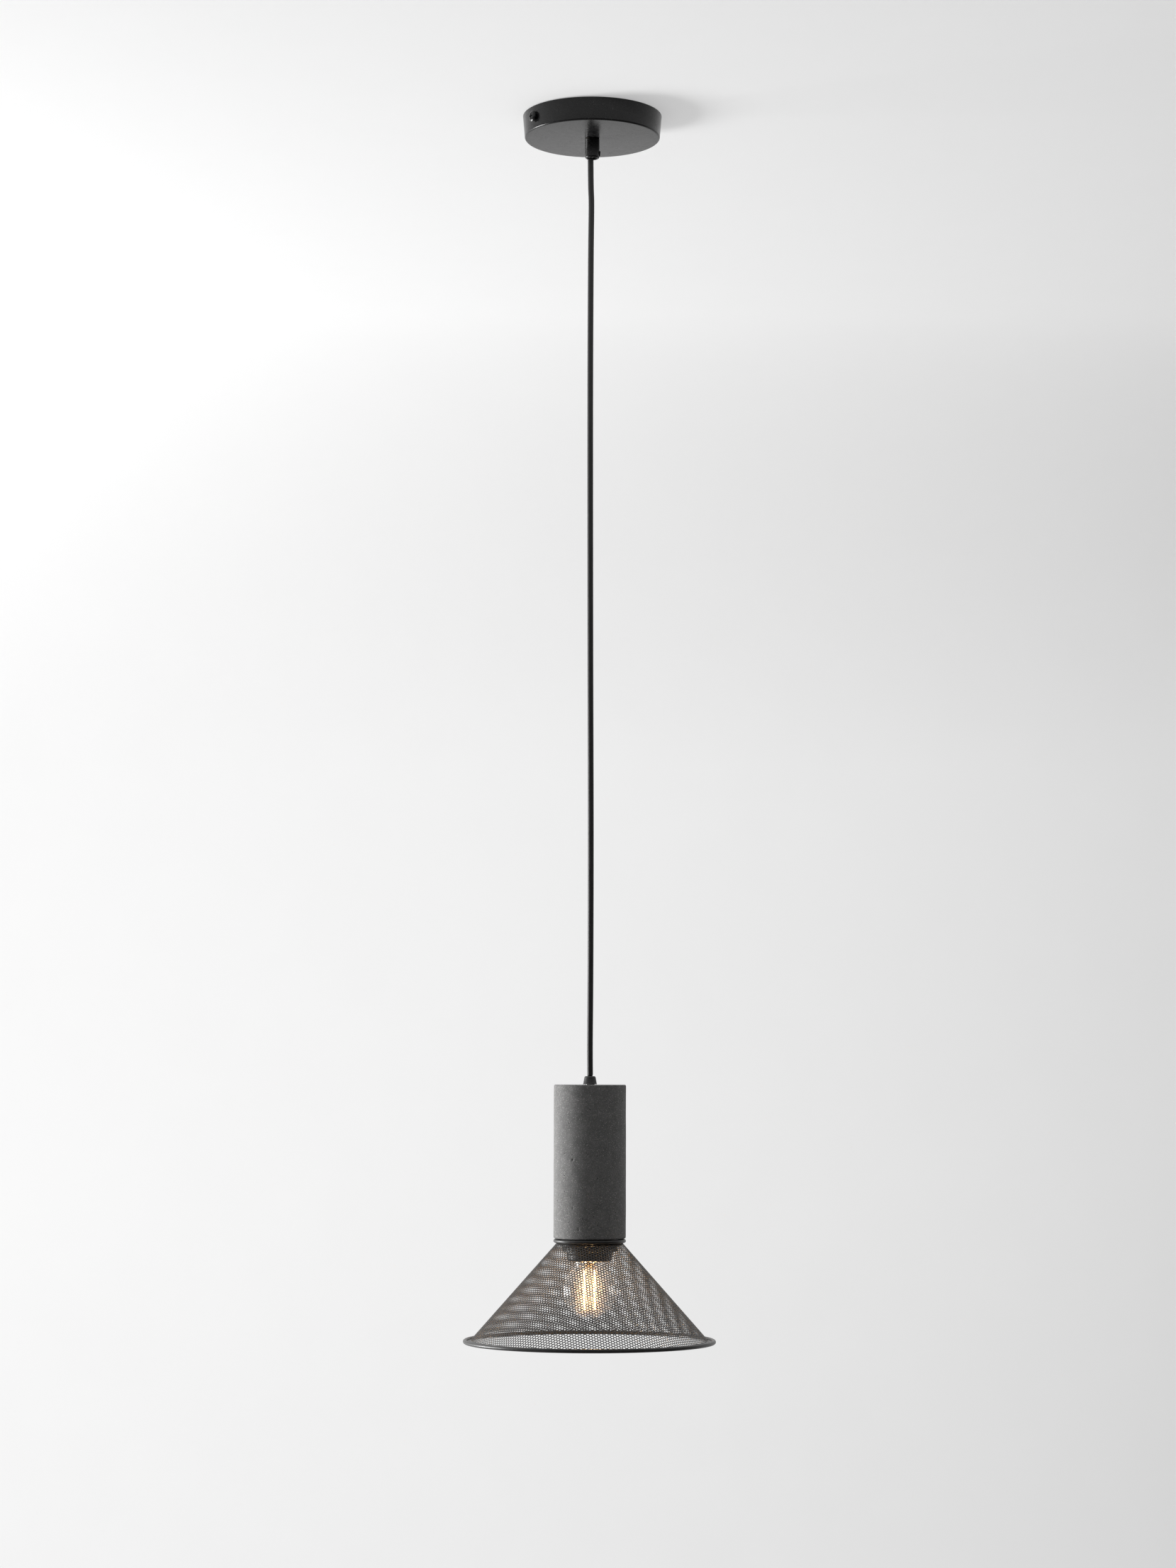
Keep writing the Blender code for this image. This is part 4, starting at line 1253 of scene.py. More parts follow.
@dataclass
class Lampholder:
    """E27 lampholder: cap, skirt with an outer thread, insulator, threaded shell and centre contact."""

    body: str = "lamp"
    wall: float = 2.4 * MM
    lip: float = 3.0 * MM
    ring_pitch: float = 3.0 * MM
    shell_radii: tuple[float, float] = (13.7 * MM, 14.4 * MM)

    def build(self) -> None:
        """Makes and hands over the lampholder's pieces."""
        low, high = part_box("holder_cap")
        radius, dome = high.x, 10.5 * MM
        inset = radius - dome
        outline = [(4.3 * MM, high.z)] + arc((inset, high.z - dome), dome, 90, 0, 12)
        outline += [(radius, low.z), (radius - self.wall, low.z)]
        outline += arc((inset, high.z - dome), dome - self.wall, 0, 90, 8)
        outline += [(4.3 * MM, high.z - self.wall)]
        hand_over(revolve("holder_dome", outline, 96), self.body, Finishes.plastic,
                  ["holder_cap"])
        self.build_skirt()
        self.build_shell()
        dress_node("holder_insulator", Finishes.steatite)
        dress_node("holder_centre_contact", Finishes.brass)

    def build_skirt(self) -> None:
        """Makes the skirt, with the thread that carries the shade ring."""
        low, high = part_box("holder_skirt")
        radius, root = high.x, high.x - 0.35 * MM
        mouth = self.shell_radii[1] + 0.3 * MM
        outline = [(radius, high.z), (radius, high.z - 2.0 * MM), (root, high.z - 2.6 * MM)]
        outline += arc((root - self.lip, low.z + self.lip), self.lip, 0, -90, 9)
        outline += [(mouth + 0.4 * MM, low.z), (mouth, low.z + 0.4 * MM), (mouth, low.z + 4.0 * MM)]
        outline += [(radius - self.wall, low.z + 7.0 * MM), (radius - self.wall, high.z)]
        skirt = revolve("holder_sleeve", outline, 96)
        ridge = thread_ridge("skirt_ridge", root, high.z - 4.0 * MM, low.z + 4.5 * MM, self.ring_pitch,
                             0.4 * MM, Finishes.plastic)
        hand_over(joined(skirt, ridge), self.body, Finishes.plastic, ["holder_skirt"])

    def build_shell(self) -> None:
        """Makes the brass shell, rolled with the lamp thread's shape."""
        low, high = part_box("holder_screw_shell")
        inner, outer = self.shell_radii
        flange = 9.4 * MM
        outline = [(outer, high.z), (outer, low.z), (inner, low.z), (inner, high.z - 0.7 * MM),
                   (flange, high.z - 0.7 * MM), (flange, high.z)]
        shell = revolve("lamp_shell", outline, 96)
        ridge = thread_ridge("shell_ridge", inner, high.z - 4.0 * MM, low.z + 1.0 * MM, LAMP_PITCH,
                             0.45 * MM, Finishes.brass)
        hand_over(joined(shell, ridge), self.body, Finishes.brass, ["holder_screw_shell"])


# ------------------------------------------------------------------ shade


@dataclass
class PerforatedCone:
    """Cone rolled from a flat sheet punched with staggered round holes."""

    body: str = "shade"
    pitch: float = 2.55 * MM
    hole: float = 2.12 * MM
    hole_sides: int = 8
    sheet: float = 0.3 * MM
    margin: float = 0.3 * MM
    band: float = 1.4 * MM
    tuck: float = 1.0 * MM
    lean: float = math.radians(5.0)
    seam_at: float = math.radians(100.0)
    seam_width: float = 3.2 * MM
    sectors: int = 3
    merge_within: float = 0.02 * MM
    neck_radius: float = field(init=False)
    foot_radius: float = field(init=False)
    half_angle: float = field(init=False)
    apex: float = field(init=False)

    def __post_init__(self) -> None:
        """Reads the cone's slope from its CAD node, and carries it on down to the rim bead."""
        low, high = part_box("shade_cone")
        bead_low, bead_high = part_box("neck_bead")
        cad_sheet = 0.5 * MM
        self.neck_radius = bead_high.x - (bead_high.z - bead_low.z) / 2
        drop = high.z - low.z
        rise = high.x - self.neck_radius
        self.half_angle = math.atan2(rise, drop)
        self.half_angle = math.atan2(rise, drop - cad_sheet * math.sin(self.half_angle))
        self.neck_radius -= self.tuck
        self.apex = high.z + self.neck_radius / math.tan(self.half_angle)
        self.foot_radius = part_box("rim_bead")[1].x - 2 * RIM_WIRE - RIM_INSET

    def slant(self, radius: float) -> float:
        """Distance along the cone's side from its apex.

        Args:
            radius: The cone's radius there.

        Returns:
            The slant distance.
        """
        return radius / math.sin(self.half_angle)

    def build(self) -> None:
        """Makes the punched sectors, the plain borders and the seam."""
        sine = math.sin(self.half_angle)
        start, end = (self.seam_at - math.tau) * sine - self.lean, self.seam_at * sine - self.lean
        cuts = np.linspace(start, end, self.sectors + 1)
        for number, (first_cut, last_cut) in enumerate(zip(cuts, cuts[1:]), start=1):
            piece = self.punched_sector(f"punched_sheet_{number}", float(first_cut), float(last_cut))
            nodes = ["shade_cone"] if number == 1 else []
            hand_over(piece, self.body, Finishes.shade_coat, nodes)
        first, last = self.slant(self.neck_radius), self.slant(self.foot_radius)
        borders = {"neck_border": (first, first + self.band), "foot_border": (last - self.band, last)}
        for name, (near, far) in borders.items():
            piece = revolve(name, self.border_outline(near, far), 256)
            hand_over(piece, self.body, Finishes.shade_coat)
        hand_over(self.seam(first, last), self.body, Finishes.shade_coat)

    def border_outline(self, near: float, far: float) -> list[tuple[float, float]]:
        """Section of a plain ring of sheet, slightly thicker than the punched part.

        Args:
            near: Upper slant distance.
            far: Lower slant distance.

        Returns:
            (radius, level) points.
        """
        proud = 0.04 * MM
        corners = ((near, proud), (far, proud), (far, -self.sheet - proud), (near, -self.sheet - proud))
        return [self.section_point(s, n) for s, n in corners]

    def section_point(self, slant: float, depth: float) -> tuple[float, float]:
        """(radius, level) of a point of the rolled sheet.

        Args:
            slant: Distance along the side from the apex.
            depth: Distance outwards from the outer face.

        Returns:
            Its radius and level.
        """
        sine, cosine = math.sin(self.half_angle), math.cos(self.half_angle)
        return slant * sine + depth * cosine, self.apex - slant * cosine + depth * sine

    def seam(self, near: float, far: float) -> bpy.types.Object:
        """Makes the welded lap along the cone's side.

        Args:
            near: Upper slant distance.
            far: Lower slant distance.

        Returns:
            The seam strip.
        """
        points = []
        for depth in (0.1 * MM, -self.sheet - 0.1 * MM):
            for slant in (near, far):
                radius, level = self.section_point(slant, depth)
                half = self.seam_width / 2
                for k in range(5):
                    angle = FRONT + self.seam_at + half * (k / 2 - 1.0) / radius
                    points.append((radius * math.cos(angle), radius * math.sin(angle), level))
        faces = []
        for side in (0, 10):
            faces += [(side + k, side + k + 1, side + k + 6, side + k + 5) for k in range(4)]
        for row in (0, 5):
            faces += [(row + k, row + k + 1, row + k + 11, row + k + 10) for k in range(4)]
        faces += [(0, 5, 15, 10), (4, 9, 19, 14)]
        return mesh_from("seam_strip", np.array(points), faces, 50.0)

    def punched_sector(self, name: str, start: float, end: float) -> bpy.types.Object:
        """Punches a flat sector with staggered holes and rolls it onto the cone.

        Args:
            name: The object's name.
            start: First angle of the sector in the flat sheet, from the front.
            end: Last angle.

        Returns:
            The rolled sheet as a plain mesh.
        """
        near, far = self.slant(self.neck_radius) + self.margin, self.slant(self.foot_radius) - self.margin
        sheet = GeometrySheet("PunchedCone", {
            "Pitch": self.pitch, "Hole Radius": self.hole / 2, "Sheet": self.sheet, "Near": near, "Far": far,
            "Start": start, "End": end, "Lean": self.lean, "Half Angle": self.half_angle, "Apex": self.apex})
        flat = self.staggered_cells(sheet, far)
        solid = self.thickened(sheet, flat)
        rolled = sheet.add("GeometryNodeSetPosition", {
            "Geometry": solid, "Position": self.rolled_place(sheet)})
        return sheet.bake(name, rolled.outputs[0], Finishes.shade_coat, 40.0)

    def polar(self, sheet: GeometrySheet, x: object, y: object) -> tuple:
        """Reach from the apex and angle from the front, of a place in the flat sheet.

        Args:
            sheet: The tree.
            x: Its first coordinate.
            y: Its second coordinate.

        Returns:
            The two sockets.
        """
        squares = sheet.math("ADD", sheet.math("MULTIPLY", x, x), sheet.math("MULTIPLY", y, y))
        return sheet.math("SQRT", squares), sheet.math("ARCTAN2", x, sheet.math("MULTIPLY", y, -1.0))

    def staggered_cells(self, sheet: GeometrySheet, far: float) -> bpy.types.NodeSocket:
        """Lays hexagonal cells with a round hole in staggered columns, in the flat.

        Args:
            sheet: The tree.
            far: Reach that the grid has to cover.

        Returns:
            The flat punched sheet.
        """
        columns = 2 * math.ceil(far / (self.pitch * math.sqrt(0.75))) + 1
        rows = 2 * math.ceil(far / self.pitch) + 1
        pitch = sheet.size("Pitch")
        index = sheet.add("GeometryNodeInputIndex").outputs[0]
        column = sheet.math("FLOOR", sheet.math("DIVIDE", index, float(rows)))
        row = sheet.math("SUBTRACT", index, sheet.math("MULTIPLY", column, float(rows)))
        stagger = sheet.math("MULTIPLY", sheet.math("MODULO", column, 2.0), 0.5)
        upward = sheet.math("SUBTRACT", sheet.math("ADD", row, stagger), (rows - 1) / 2)
        y = sheet.math("MULTIPLY", upward, pitch)
        across = sheet.math("SUBTRACT", column, (columns - 1) / 2)
        x = sheet.math("MULTIPLY", sheet.math("MULTIPLY", across, math.sqrt(0.75)), pitch)
        place = sheet.vector(x, y, sheet.math("MULTIPLY", sheet.size("Sheet"), -1.0))
        points = sheet.add("GeometryNodePoints", {"Count": rows * columns, "Position": place})
        reach, turn = self.polar(sheet, x, y)
        tests = [sheet.math("GREATER_THAN", reach, sheet.size("Near")),
                 sheet.math("LESS_THAN", reach, sheet.size("Far")),
                 sheet.math("GREATER_THAN", turn, sheet.size("Start")),
                 sheet.math("LESS_THAN", turn, sheet.size("End"))]
        kept = tests[0]
        for test in tests[1:]:
            kept = sheet.math("MULTIPLY", kept, test)
        dropped = sheet.math("LESS_THAN", kept, 0.5)
        lattice = sheet.add("GeometryNodeDeleteGeometry", {
            "Geometry": points.outputs[0], "Selection": dropped}, domain="POINT")
        hexagon = sheet.add("GeometryNodeCurvePrimitiveCircle", {
            "Resolution": 6, "Radius": sheet.math("DIVIDE", pitch, math.sqrt(3.0))}, mode="RADIUS")
        hole = sheet.add("GeometryNodeCurvePrimitiveCircle", {
            "Resolution": self.hole_sides, "Radius": sheet.size("Hole Radius")}, mode="RADIUS")
        cell = sheet.add("GeometryNodeFillCurve", {0: sheet.join(hexagon.outputs[0], hole.outputs[0])})
        laid = sheet.add("GeometryNodeInstanceOnPoints", {"Points": lattice.outputs[0],
                                                          "Instance": cell.outputs[0]})
        real = sheet.add("GeometryNodeRealizeInstances", {0: laid.outputs[0]})
        merged = sheet.add("GeometryNodeMergeByDistance", {
            "Geometry": real.outputs[0], "Distance": self.merge_within})
        return merged.outputs[0]

    def thickened(self, sheet: GeometrySheet, flat: bpy.types.NodeSocket) -> bpy.types.NodeSocket:
        """Gives the flat punched sheet its thickness.

        Args:
            sheet: The tree.
            flat: The flat sheet.

        Returns:
            A closed solid sheet.
        """
        raised = sheet.add("GeometryNodeExtrudeMesh", {"Mesh": flat, "Offset": (0.0, 0.0, 1.0),
                                                       "Offset Scale": sheet.size("Sheet"),
                                                       "Individual": False}, mode="FACES")
        under = sheet.add("GeometryNodeFlipFaces", {0: flat})
        both = sheet.join(raised.outputs[0], under.outputs[0])
        closed = sheet.add("GeometryNodeMergeByDistance", {"Geometry": both, "Distance": self.merge_within})
        return closed.outputs[0]

    def rolled_place(self, sheet: GeometrySheet) -> bpy.types.NodeSocket:
        """Where each point of the flat sheet lies on the cone.

        Args:
            sheet: The tree.

        Returns:
            The position socket.
        """
        flat = sheet.add("ShaderNodeSeparateXYZ", {0: sheet.add("GeometryNodeInputPosition").outputs[0]})
        x, y, depth = flat.outputs
        sine = sheet.math("SINE", sheet.size("Half Angle"))
        cosine = sheet.math("COSINE", sheet.size("Half Angle"))
        reach, turn = self.polar(sheet, x, y)
        azimuth = sheet.math("DIVIDE", sheet.math("ADD", turn, sheet.size("Lean")), sine)
        radius = sheet.math("ADD", sheet.math("MULTIPLY", reach, sine), sheet.math("MULTIPLY", depth, cosine))
        drop = sheet.math("SUBTRACT", sheet.math("MULTIPLY", depth, sine),
                          sheet.math("MULTIPLY", reach, cosine))
        return sheet.vector(
            sheet.math("MULTIPLY", radius, sheet.math("SINE", azimuth)),
            sheet.math("MULTIPLY", sheet.math("MULTIPLY", radius, sheet.math("COSINE", azimuth)), -1.0),
            sheet.math("ADD", sheet.size("Apex"), drop))


@dataclass
class ShadeRims:
    """Neck bead, collar and the rolled rim with its channel."""

    body: str = "shade"
    lip: float = 0.7 * MM
    bore: float = 20.6 * MM

    def build(self) -> None:
        """Makes and hands over the neck bead, collar and rim."""
        low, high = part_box("neck_bead")
        wire = (high.z - low.z) / 2
        bead = arc((high.x - wire, (low.z + high.z) / 2), wire, 0, -345, 23)
        hand_over(revolve("rolled_neck", bead, 192), self.body, Finishes.shade_coat,
                  ["neck_bead"])
        collar_low, collar_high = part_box("shade_collar")
        edge = 0.2 * MM
        plate = [(collar_high.x, collar_high.z - edge), (collar_high.x, collar_low.z + edge),
                 (collar_high.x - edge, collar_low.z), (self.bore + edge, collar_low.z),
                 (self.bore, collar_low.z + edge), (self.bore, collar_high.z - edge),
                 (self.bore + edge, collar_high.z), (collar_high.x - edge, collar_high.z)]
        hand_over(revolve("flat_collar", plate, 128), self.body, Finishes.shade_coat,
                  ["shade_collar"])
        self.build_rim()

    def build_rim(self) -> None:
        """Makes the rolled rim bead and the short lip that carries the cone's foot."""
        low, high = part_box("rim_bead")
        centre = (high.x - RIM_WIRE, low.z + RIM_WIRE)
        top, foot = centre[1] + 0.1 * MM, high.x - 2 * RIM_WIRE - RIM_INSET
        outer = [(foot - 0.4 * MM, top), (foot + 0.6 * MM, top - 0.05 * MM)]
        bead = arc(centre, RIM_WIRE, 178, -160, 30)
        under = [(foot + 0.6 * MM, top - self.lip), (foot - 0.4 * MM, top - self.lip + 0.1 * MM)]
        hand_over(revolve("rolled_rim", outer + bead + under, 320), self.body, Finishes.shade_coat,
                  ["rim_bead"])


@dataclass
class ShadeRing:
    """Threaded ring that clamps the shade, with finger ribs round its flange."""

    body: str = "shade_ring"
    bore: float = 20.0 * MM
    barrel: float = 22.8 * MM
    ribs: int = 36

    def build(self) -> None:
        """Makes the ring and hands it over."""
        low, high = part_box("shade_ring")
        flange, edge = high.x, 0.35 * MM
        step = high.z - 3.3 * MM
        outline = [(flange - edge, high.z), (flange, high.z - edge)]
        outline += [(flange, step + edge), (flange - edge, step)]
        outline += [(self.barrel + 0.6 * MM, step - 0.4 * MM), (self.barrel, step - 1.0 * MM)]
        outline += [(self.barrel, low.z + edge), (self.barrel - edge, low.z), (self.bore + edge, low.z)]
        outline += [(self.bore, low.z + edge), (self.bore, high.z - edge), (self.bore + edge, high.z)]
        ring = revolve("clamp_ring", outline, 144)
        ribs = self.finger_ribs(step - 1.0 * MM, low.z + 0.8 * MM)
        hand_over(joined(ring, ribs), self.body, Finishes.plastic, ["shade_ring"])

    def finger_ribs(self, top: float, foot: float) -> bpy.types.Object:
        """Upright ribs round the barrel, laid by Geometry Nodes.

        Args:
            top: Their upper level.
            foot: Their lower level.

        Returns:
            The ribs as a plain mesh.
        """
        sheet = GeometrySheet("FingerRibs", {"Radius": self.barrel, "Level": (top + foot) / 2,
                                             "Height": top - foot, "Width": 0.9 * MM})
        circle = sheet.add("GeometryNodeMeshCircle", {"Vertices": self.ribs, "Radius": sheet.size("Radius")})
        raised = sheet.add("GeometryNodeTransform", {
            "Geometry": circle.outputs[0], "Translation": sheet.vector(0.0, 0.0, sheet.size("Level"))})
        rib = sheet.add("GeometryNodeMeshCylinder", {
            "Vertices": 8, "Radius": sheet.math("MULTIPLY", sheet.size("Width"), 0.5),
            "Depth": sheet.size("Height")})
        laid = sheet.add("GeometryNodeInstanceOnPoints", {"Points": raised.outputs[0],
                                                          "Instance": rib.outputs[0]})
        return sheet.bake("finger_ribs", laid.outputs[0], Finishes.plastic)


# ------------------------------------------------------------------ bulb


@dataclass
class GlobeBulb:
    """Clear globe bulb with an E27 cap, a stem and four lit filament rods."""

    body: str = "bulb"
    radius: float = 22.5 * MM
    glass: float = 0.7 * MM
    neck: float = 12.1 * MM
    cap_radius: float = 13.0 * MM
    filament_radius: float = 0.75 * MM
    spread: float = 4.3 * MM
    flare_at: float = 52.0  # degrees above the globe's middle, where the neck's curve starts

    def build(self) -> None:
        """Makes and hands over the bulb's pieces."""
        self.build_cap()
        self.build_globe()
        self.build_stem()
        self.build_filaments()
        self.build_wires()
        dress_node("bulb_insulator", Finishes.vitrite)
        dress_node("bulb_contact", Finishes.nickel)

    def build_cap(self) -> None:
        """Makes the threaded cap."""
        low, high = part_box("bulb_cap")
        root, wall = self.cap_radius - 0.5 * MM, 0.4 * MM
        outline = [(8.0 * MM, high.z), (root - 0.8 * MM, high.z - 1.2 * MM), (root, high.z - 2.2 * MM)]
        outline += [(root, low.z + 1.6 * MM), (self.cap_radius, low.z + 1.0 * MM), (self.cap_radius, low.z)]
        outline += [(self.cap_radius - wall, low.z), (root - wall, low.z + 1.6 * MM)]
        outline += [(root - wall, high.z - 2.4 * MM), (8.0 * MM, high.z - 0.6 * MM)]
        cap = revolve("threaded_cap", outline, 96)
        ridge = thread_ridge("cap_ridge", root, high.z - 3.4 * MM, low.z + 2.4 * MM, LAMP_PITCH,
                             0.5 * MM, Finishes.nickel)
        hand_over(joined(cap, ridge), self.body, Finishes.nickel, ["bulb_cap"])

    def build_globe(self) -> None:
        """Makes the blown globe with its smooth neck."""
        low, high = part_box("bulb_glass")
        centre = low.z + self.radius
        inner = self.radius - self.glass
        join, turn = self.flare_at, math.radians(self.flare_at)
        neck_low, neck_high = centre + 22.4 * MM, high.z
        start = (self.radius * math.cos(turn), centre + self.radius * math.sin(turn))
        outer = [(0.0, low.z)] + arc((0.0, centre), self.radius, -88, join, 44)
        outer += self.flare(start, (self.neck, neck_low), 8) + [(self.neck, neck_high)]
        thin = self.neck - self.glass
        inside = (inner * math.cos(turn), centre + inner * math.sin(turn))
        back = [(thin, neck_high), (thin, neck_low)] + self.flare(inside, (thin, neck_low), 8)[::-1][1:]
        back += arc((0.0, centre), inner, join, -88, 44) + [(0.0, low.z + self.glass)]
        globe = revolve("glass_globe", outer + back, 128, 60.0)
        hand_over(globe, self.body, Finishes.glass, ["bulb_glass"])
        self.keep_light_direct(globe)

    def keep_light_direct(self, piece: bpy.types.Object) -> None:
        """Lets the filaments light the other pieces straight through the clear glass.

        Args:
            piece: A glass piece, still seen by the eye and through other glass.
        """
        piece.visible_shadow = piece.visible_diffuse = piece.visible_glossy = False

    def flare(self, start: tuple[float, float], end: tuple[float, float], steps: int) -> list:
        """A smooth curve from the globe's flank into the upright neck.

        Args:
            start: Point on the globe, where the curve follows the globe's slope.
            end: First point of the neck.
            steps: Number of points made after the start.

        Returns:
            (radius, level) points, without the start.
        """
        turn = math.radians(self.flare_at)
        tangent = (-math.sin(turn), math.cos(turn))
        reach = 0.45 * (end[1] - start[1])
        controls = [start, (start[0] + tangent[0] * reach * 1.2, start[1] + tangent[1] * reach * 1.2),
                    (end[0], end[1] - reach), end]
        points = []
        for t in np.linspace(0.0, 1.0, steps + 1)[1:]:
            weights = ((1 - t) ** 3, 3 * t * (1 - t) ** 2, 3 * t * t * (1 - t), t**3)
            points.append(tuple(sum(w * c[k] for w, c in zip(weights, controls)) for k in (0, 1)))
        return points

    def build_stem(self) -> None:
        """Makes the glass stem."""
        low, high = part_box("bulb_stem")
        drops = {0.0: 10.6, 1.4: 10.6, 4.6: 8.6, 8.2: 6.3, 11.4: 4.2, 13.8: 2.8, 16.5: 1.9, 20.0: 1.5}
        outline = [(0.0, high.z)] + [(radius * MM, high.z - drop * MM) for drop, radius in drops.items()]
        outline += [(1.35 * MM, low.z + 2.0 * MM)] + arc((0.0, low.z + 1.35 * MM), 1.35 * MM, 0, -90, 6)[:-1]
        outline += [(0.0, low.z)]
        stem = revolve("glass_stem", outline, 48, 60.0)
        hand_over(stem, self.body, Finishes.glass, ["bulb_stem"])
        self.keep_light_direct(stem)

    def build_filaments(self) -> None:
        """Makes the four filament rods with Geometry Nodes."""
        low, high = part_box("filament_1")
        reach = math.hypot(self.spread, self.spread)
        sheet = GeometrySheet("FilamentCluster", {"Reach": reach, "Level": (low.z + high.z) / 2,
                                                  "Radius": self.filament_radius, "Length": high.z - low.z})
        corners = sheet.add("GeometryNodeMeshCircle", {"Vertices": 4, "Radius": sheet.size("Reach")})
        turned = sheet.add("GeometryNodeTransform", {
            "Geometry": corners.outputs[0], "Rotation": Euler((0.0, 0.0, math.pi / 4)),
            "Translation": sheet.vector(0.0, 0.0, sheet.size("Level"))})
        rod = sheet.add("GeometryNodeMeshCylinder", {
            "Vertices": 16, "Side Segments": 8,
            "Radius": sheet.size("Radius"), "Depth": sheet.size("Length")})
        laid = sheet.add("GeometryNodeInstanceOnPoints", {"Points": turned.outputs[0],
                                                          "Instance": rod.outputs[0]})
        rods = sheet.bake("filament_rods", laid.outputs[0], Finishes.glow)
        hand_over(rods, self.body, Finishes.glow, [f"filament_{k}" for k in (1, 2, 3, 4)])

    def build_wires(self) -> None:
        """Makes the support wires: a ring under the rods and a spider above them."""
        low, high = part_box("filament_1")
        reach = math.hypot(self.spread, self.spread)
        wire = 0.22 * MM
        ring = revolve("support_wires", arc((reach, low.z - 0.5 * MM), wire, 0, -315, 7), 48, 60.0)
        spokes = []
        for k in range(4):
            angle = math.pi / 4 + k * math.pi / 2
            tip = Vector((reach * math.cos(angle), reach * math.sin(angle), high.z + 0.4 * MM))
            root = Vector((1.2 * MM * math.cos(angle), 1.2 * MM * math.sin(angle), high.z + 5.0 * MM))
            foot = Vector((reach * math.cos(angle), reach * math.sin(angle), low.z - 0.5 * MM))
            for number, (start, end) in enumerate(((root, tip), (foot, foot + Vector((0.0, 0.0, 0.6 * MM))))):
                rod = [(0.0, 0.0), (wire, 0.0), (wire, (end - start).length), (0.0, (end - start).length)]
                piece = revolve(f"spoke_{k}_{number}", rod, 8, 60.0)
                spokes.append(aimed(piece, end - start, start))
        hand_over(joined(ring, *spokes), self.body, Finishes.zinc, ["filament_ring"])


# ------------------------------------------------------------------ studio


@dataclass
class Studio:
    """Pale ceiling and wall in one sheet, a pale floor, soft lights and the camera."""

    wall_at: float = 1.25
    floor_level: float = -2.4
    half_width: float = 3.4
    ceiling_front: float = -1.0
    cove: float = 0.5
    camera_at: tuple[float, float, float] = (-0.0017, -2.823, -0.8354)
    camera_tilt: float = math.radians(5.156)
    camera_roll: float = math.radians(-0.143)
    camera_lens: float = 76.5
    key_at: tuple[float, float, float] = (-2.6, 0.75, -1.1)
    key_power: float = 132.0
    room_light: float = 0.1
    room_look: float = 0.76
    ceiling_glow: tuple[float, float] = (0.42, 0.34)
    wall_glow: tuple[float, float] = (0.87, 0.65)
    middle_glow: float = 0.035
    glow_reach: float = 0.7

    def build(self) -> None:
        """Makes the camera, the backdrop and the lights."""
        self.build_camera()
        self.build_backdrop()
        self.build_floor()
        self.build_lights()

    def build_camera(self) -> None:
        """Makes the camera, level with the concrete body's top and tilted up a little."""
        data = bpy.data.cameras.new("camera")
        data.lens = self.camera_lens
        data.sensor_width = 36.0
        data.clip_start, data.clip_end = 0.05, 50.0
        camera = bpy.data.objects.new("camera", data)
        camera.location = self.camera_at
        camera.rotation_euler = (math.pi / 2 + self.camera_tilt, self.camera_roll, 0.0)
        bpy.context.scene.collection.objects.link(camera)
        bpy.context.scene.camera = camera

    def one_sided(self, name: str) -> tuple[bpy.types.Material, NodeSheet, bpy.types.Node]:
        """A painted surface that is seen only from inside the room.

        Args:
            name: The material's name.

        Returns:
            The material, its node sheet and its Principled node.
        """
        material = bpy.data.materials.new(name)
        material.use_nodes = True
        sheet = NodeSheet(material.node_tree)
        shader = material.node_tree.nodes["Principled BSDF"]
        shader.inputs["Roughness"].default_value = 0.9
        shader.inputs["Specular IOR Level"].default_value = 0.1
        through = sheet.add("ShaderNodeBsdfTransparent")
        behind = sheet.add("ShaderNodeNewGeometry").outputs["Backfacing"]
        mixed = sheet.add("ShaderNodeMixShader", {0: behind, 1: shader.outputs[0], 2: through.outputs[0]})
        output = material.node_tree.nodes["Material Output"]
        material.node_tree.links.new(mixed.outputs[0], output.inputs["Surface"])
        return material, sheet, shader

    def lit_paper(self) -> bpy.types.Material:
        """White paper lit by the key from the left, matte on the ceiling and glowing softly down the wall;
        the glow is painted light, brighter on the left, a little brighter in the middle and dimmer low on the
        wall.

        Returns:
            The material.
        """
        material, sheet, shader = self.one_sided("lit_paper")
        place = sheet.place()
        x, _, z = sheet.add("ShaderNodeSeparateXYZ", {0: place}).outputs
        # Painted light: the emission is brighter on the left, a little brighter in the middle and dimmer low
        # down.
        down = sheet.band(z, -0.02, -0.45)
        glows = [sheet.band(x, -self.glow_reach, self.glow_reach, *ends)
                 for ends in (self.ceiling_glow, self.wall_glow)]
        plaster = sheet.add("ShaderNodeTexNoise", {"Vector": place, "Scale": 14.0, "Detail": 8.0})
        patchy = sheet.band(plaster.outputs[0], 0.3, 0.7, 0.995, 1.005)
        side = sheet.math("DIVIDE", x, self.glow_reach)
        middle = sheet.band(sheet.math("MULTIPLY", side, side), 0.0, 1.0, self.middle_glow, 0.0)
        low = sheet.band(z, -0.95, -1.4, 1.0, 0.96)
        glow = sheet.math("MULTIPLY", sheet.math("ADD", sheet.blend(down, *glows), middle), low)
        light = sheet.math("MULTIPLY", glow, patchy)
        colour = sheet.blend(down, (0.5, 0.5, 0.5), (0.08, 0.08, 0.08))
        sheet.tree.links.new(colour, shader.inputs["Base Color"])
        sheet.tree.links.new(light, shader.inputs["Emission Color"])
        shader.inputs["Emission Strength"].default_value = 1.0
        return material

    def pale_floor(self) -> bpy.types.Material:
        """A pale floor that looks bright without lighting the lamp from below.

        Returns:
            The material.
        """
        material, sheet, shader = self.one_sided("pale_floor")
        seen = sheet.add("ShaderNodeLightPath").outputs["Is Camera Ray"]
        shader.inputs["Base Color"].default_value = (0.3, 0.3, 0.3, 1.0)
        sheet.tree.links.new(sheet.math("MULTIPLY", seen, 0.6), shader.inputs["Emission Color"])
        shader.inputs["Emission Strength"].default_value = 1.0
        return material

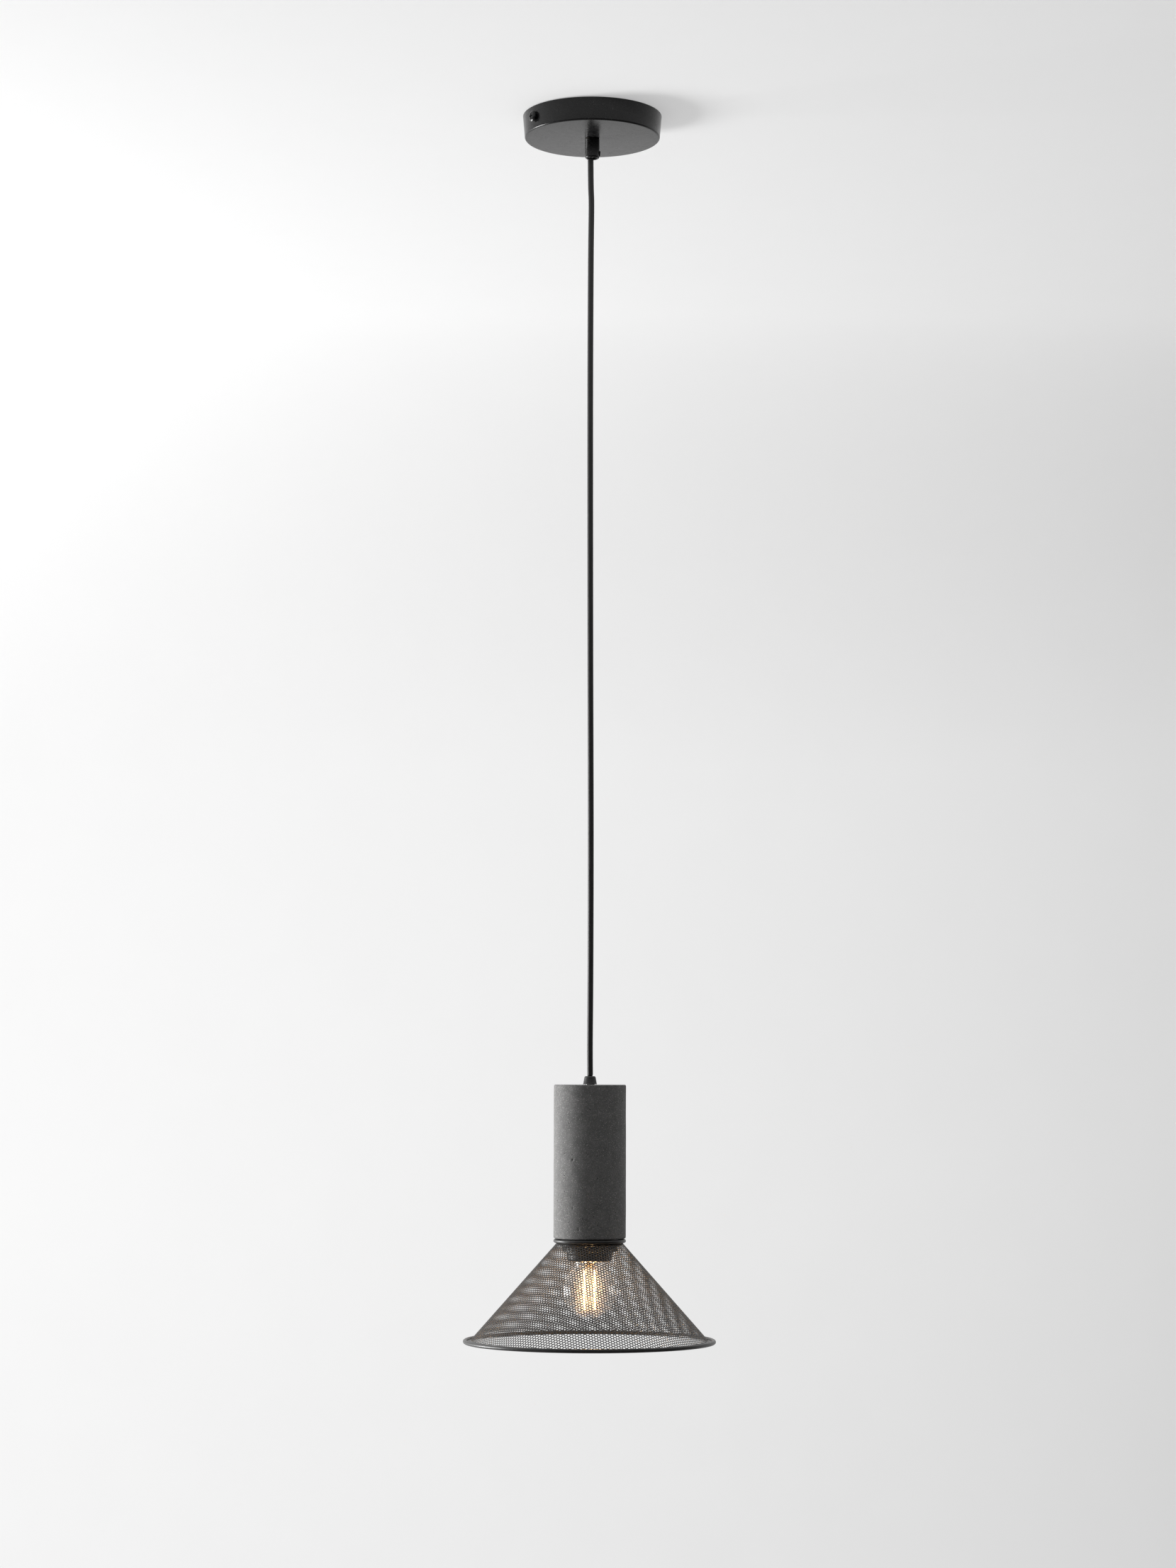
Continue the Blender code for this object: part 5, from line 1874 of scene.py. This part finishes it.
    def sheet_piece(self, name: str, profile: list[tuple[float, float]],
                    material: bpy.types.Material) -> None:
        """Stretches a (y, z) profile sideways into one sheet that faces the lamp.

        Args:
            name: The object's name.
            profile: Points from the front of the ceiling, down the wall, to the front of the floor.
            material: Its material.
        """
        points = [(side * self.half_width, y, z) for side in (-1, 1) for y, z in profile]
        count = len(profile)
        faces = [(k, k + 1, count + k + 1, count + k) for k in range(count - 1)]
        mesh = bpy.data.meshes.new(name)
        mesh.from_pydata(points, [], faces)
        mesh.shade_smooth()
        mesh.materials.append(material)
        item = bpy.data.objects.new(name, mesh)
        bpy.context.scene.collection.objects.link(item)
        item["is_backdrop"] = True

    def build_backdrop(self) -> None:
        """Makes one bent sheet: ceiling and wall, with a coved corner."""
        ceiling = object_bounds()[1].z + 0.0004
        corner = self.wall_at - self.cove
        profile = [(self.ceiling_front, ceiling), (corner, ceiling)]
        profile += [(corner + self.cove * math.sin(a), ceiling - self.cove * (1 - math.cos(a)))
                    for a in np.radians(np.linspace(5, 90, 18))]
        profile += [(self.wall_at, self.floor_level)]
        self.sheet_piece("backdrop", profile, self.lit_paper())

    def build_floor(self) -> None:
        """Makes the floor."""
        self.sheet_piece("floor", [(self.wall_at, self.floor_level), (-6.0, self.floor_level)],
                         self.pale_floor())

    def area_light(self, name: str, at: Sequence[float], toward: Sequence[float], size: tuple[float, float],
                   power: float, colour: Colour = (1.0, 1.0, 1.0)) -> None:
        """Adds one soft rectangular light.

        Args:
            name: Its name.
            at: Where it stands.
            toward: The point that it faces.
            size: Width and height.
            power: Power in watts.
            colour: Its colour.
        """
        data = bpy.data.lights.new(name, "AREA")
        data.shape = "RECTANGLE"
        data.size, data.size_y = size
        data.energy = power
        data.color = colour
        light = bpy.data.objects.new(name, data)
        light.location = at
        direction = Vector(toward) - Vector(at)
        light.rotation_euler = direction.to_track_quat("-Z", "Y").to_euler()
        light.visible_camera = False
        bpy.context.scene.collection.objects.link(light)

    def build_lights(self) -> None:
        """Makes the key from the left, and a room that is dim in front of the lamp but looks pale."""
        self.area_light("key", self.key_at, (0.0, 0.0, -0.45), (1.4, 1.0), self.key_power)
        world = bpy.data.worlds.new("room")
        world.use_nodes = True
        sheet = NodeSheet(world.node_tree)
        seen = sheet.add("ShaderNodeLightPath").outputs["Is Camera Ray"]
        back = world.node_tree.nodes["Background"]
        back.inputs["Color"].default_value = (1.0, 1.0, 1.0, 1.0)
        world.node_tree.links.new(sheet.band(seen, 0.0, 1.0, self.room_light, self.room_look),
                                  back.inputs["Strength"])
        bpy.context.scene.world = world
        bpy.context.scene.view_settings.view_transform = "Standard"


def main() -> None:
    """Builds the studio and every sub-assembly of the light."""
    logging.basicConfig(level=logging.INFO, format="%(message)s")
    Studio().build()
    HangingCord().build()
    Canopy().build()
    CordGrip().build()
    CanopyInside().build()
    ConcreteCylinder().build()
    LampFixings().build()
    Lampholder().build()
    PerforatedCone().build()
    ShadeRims().build()
    ShadeRing().build()
    GlobeBulb().build()


if __name__ == "__main__":
    main()
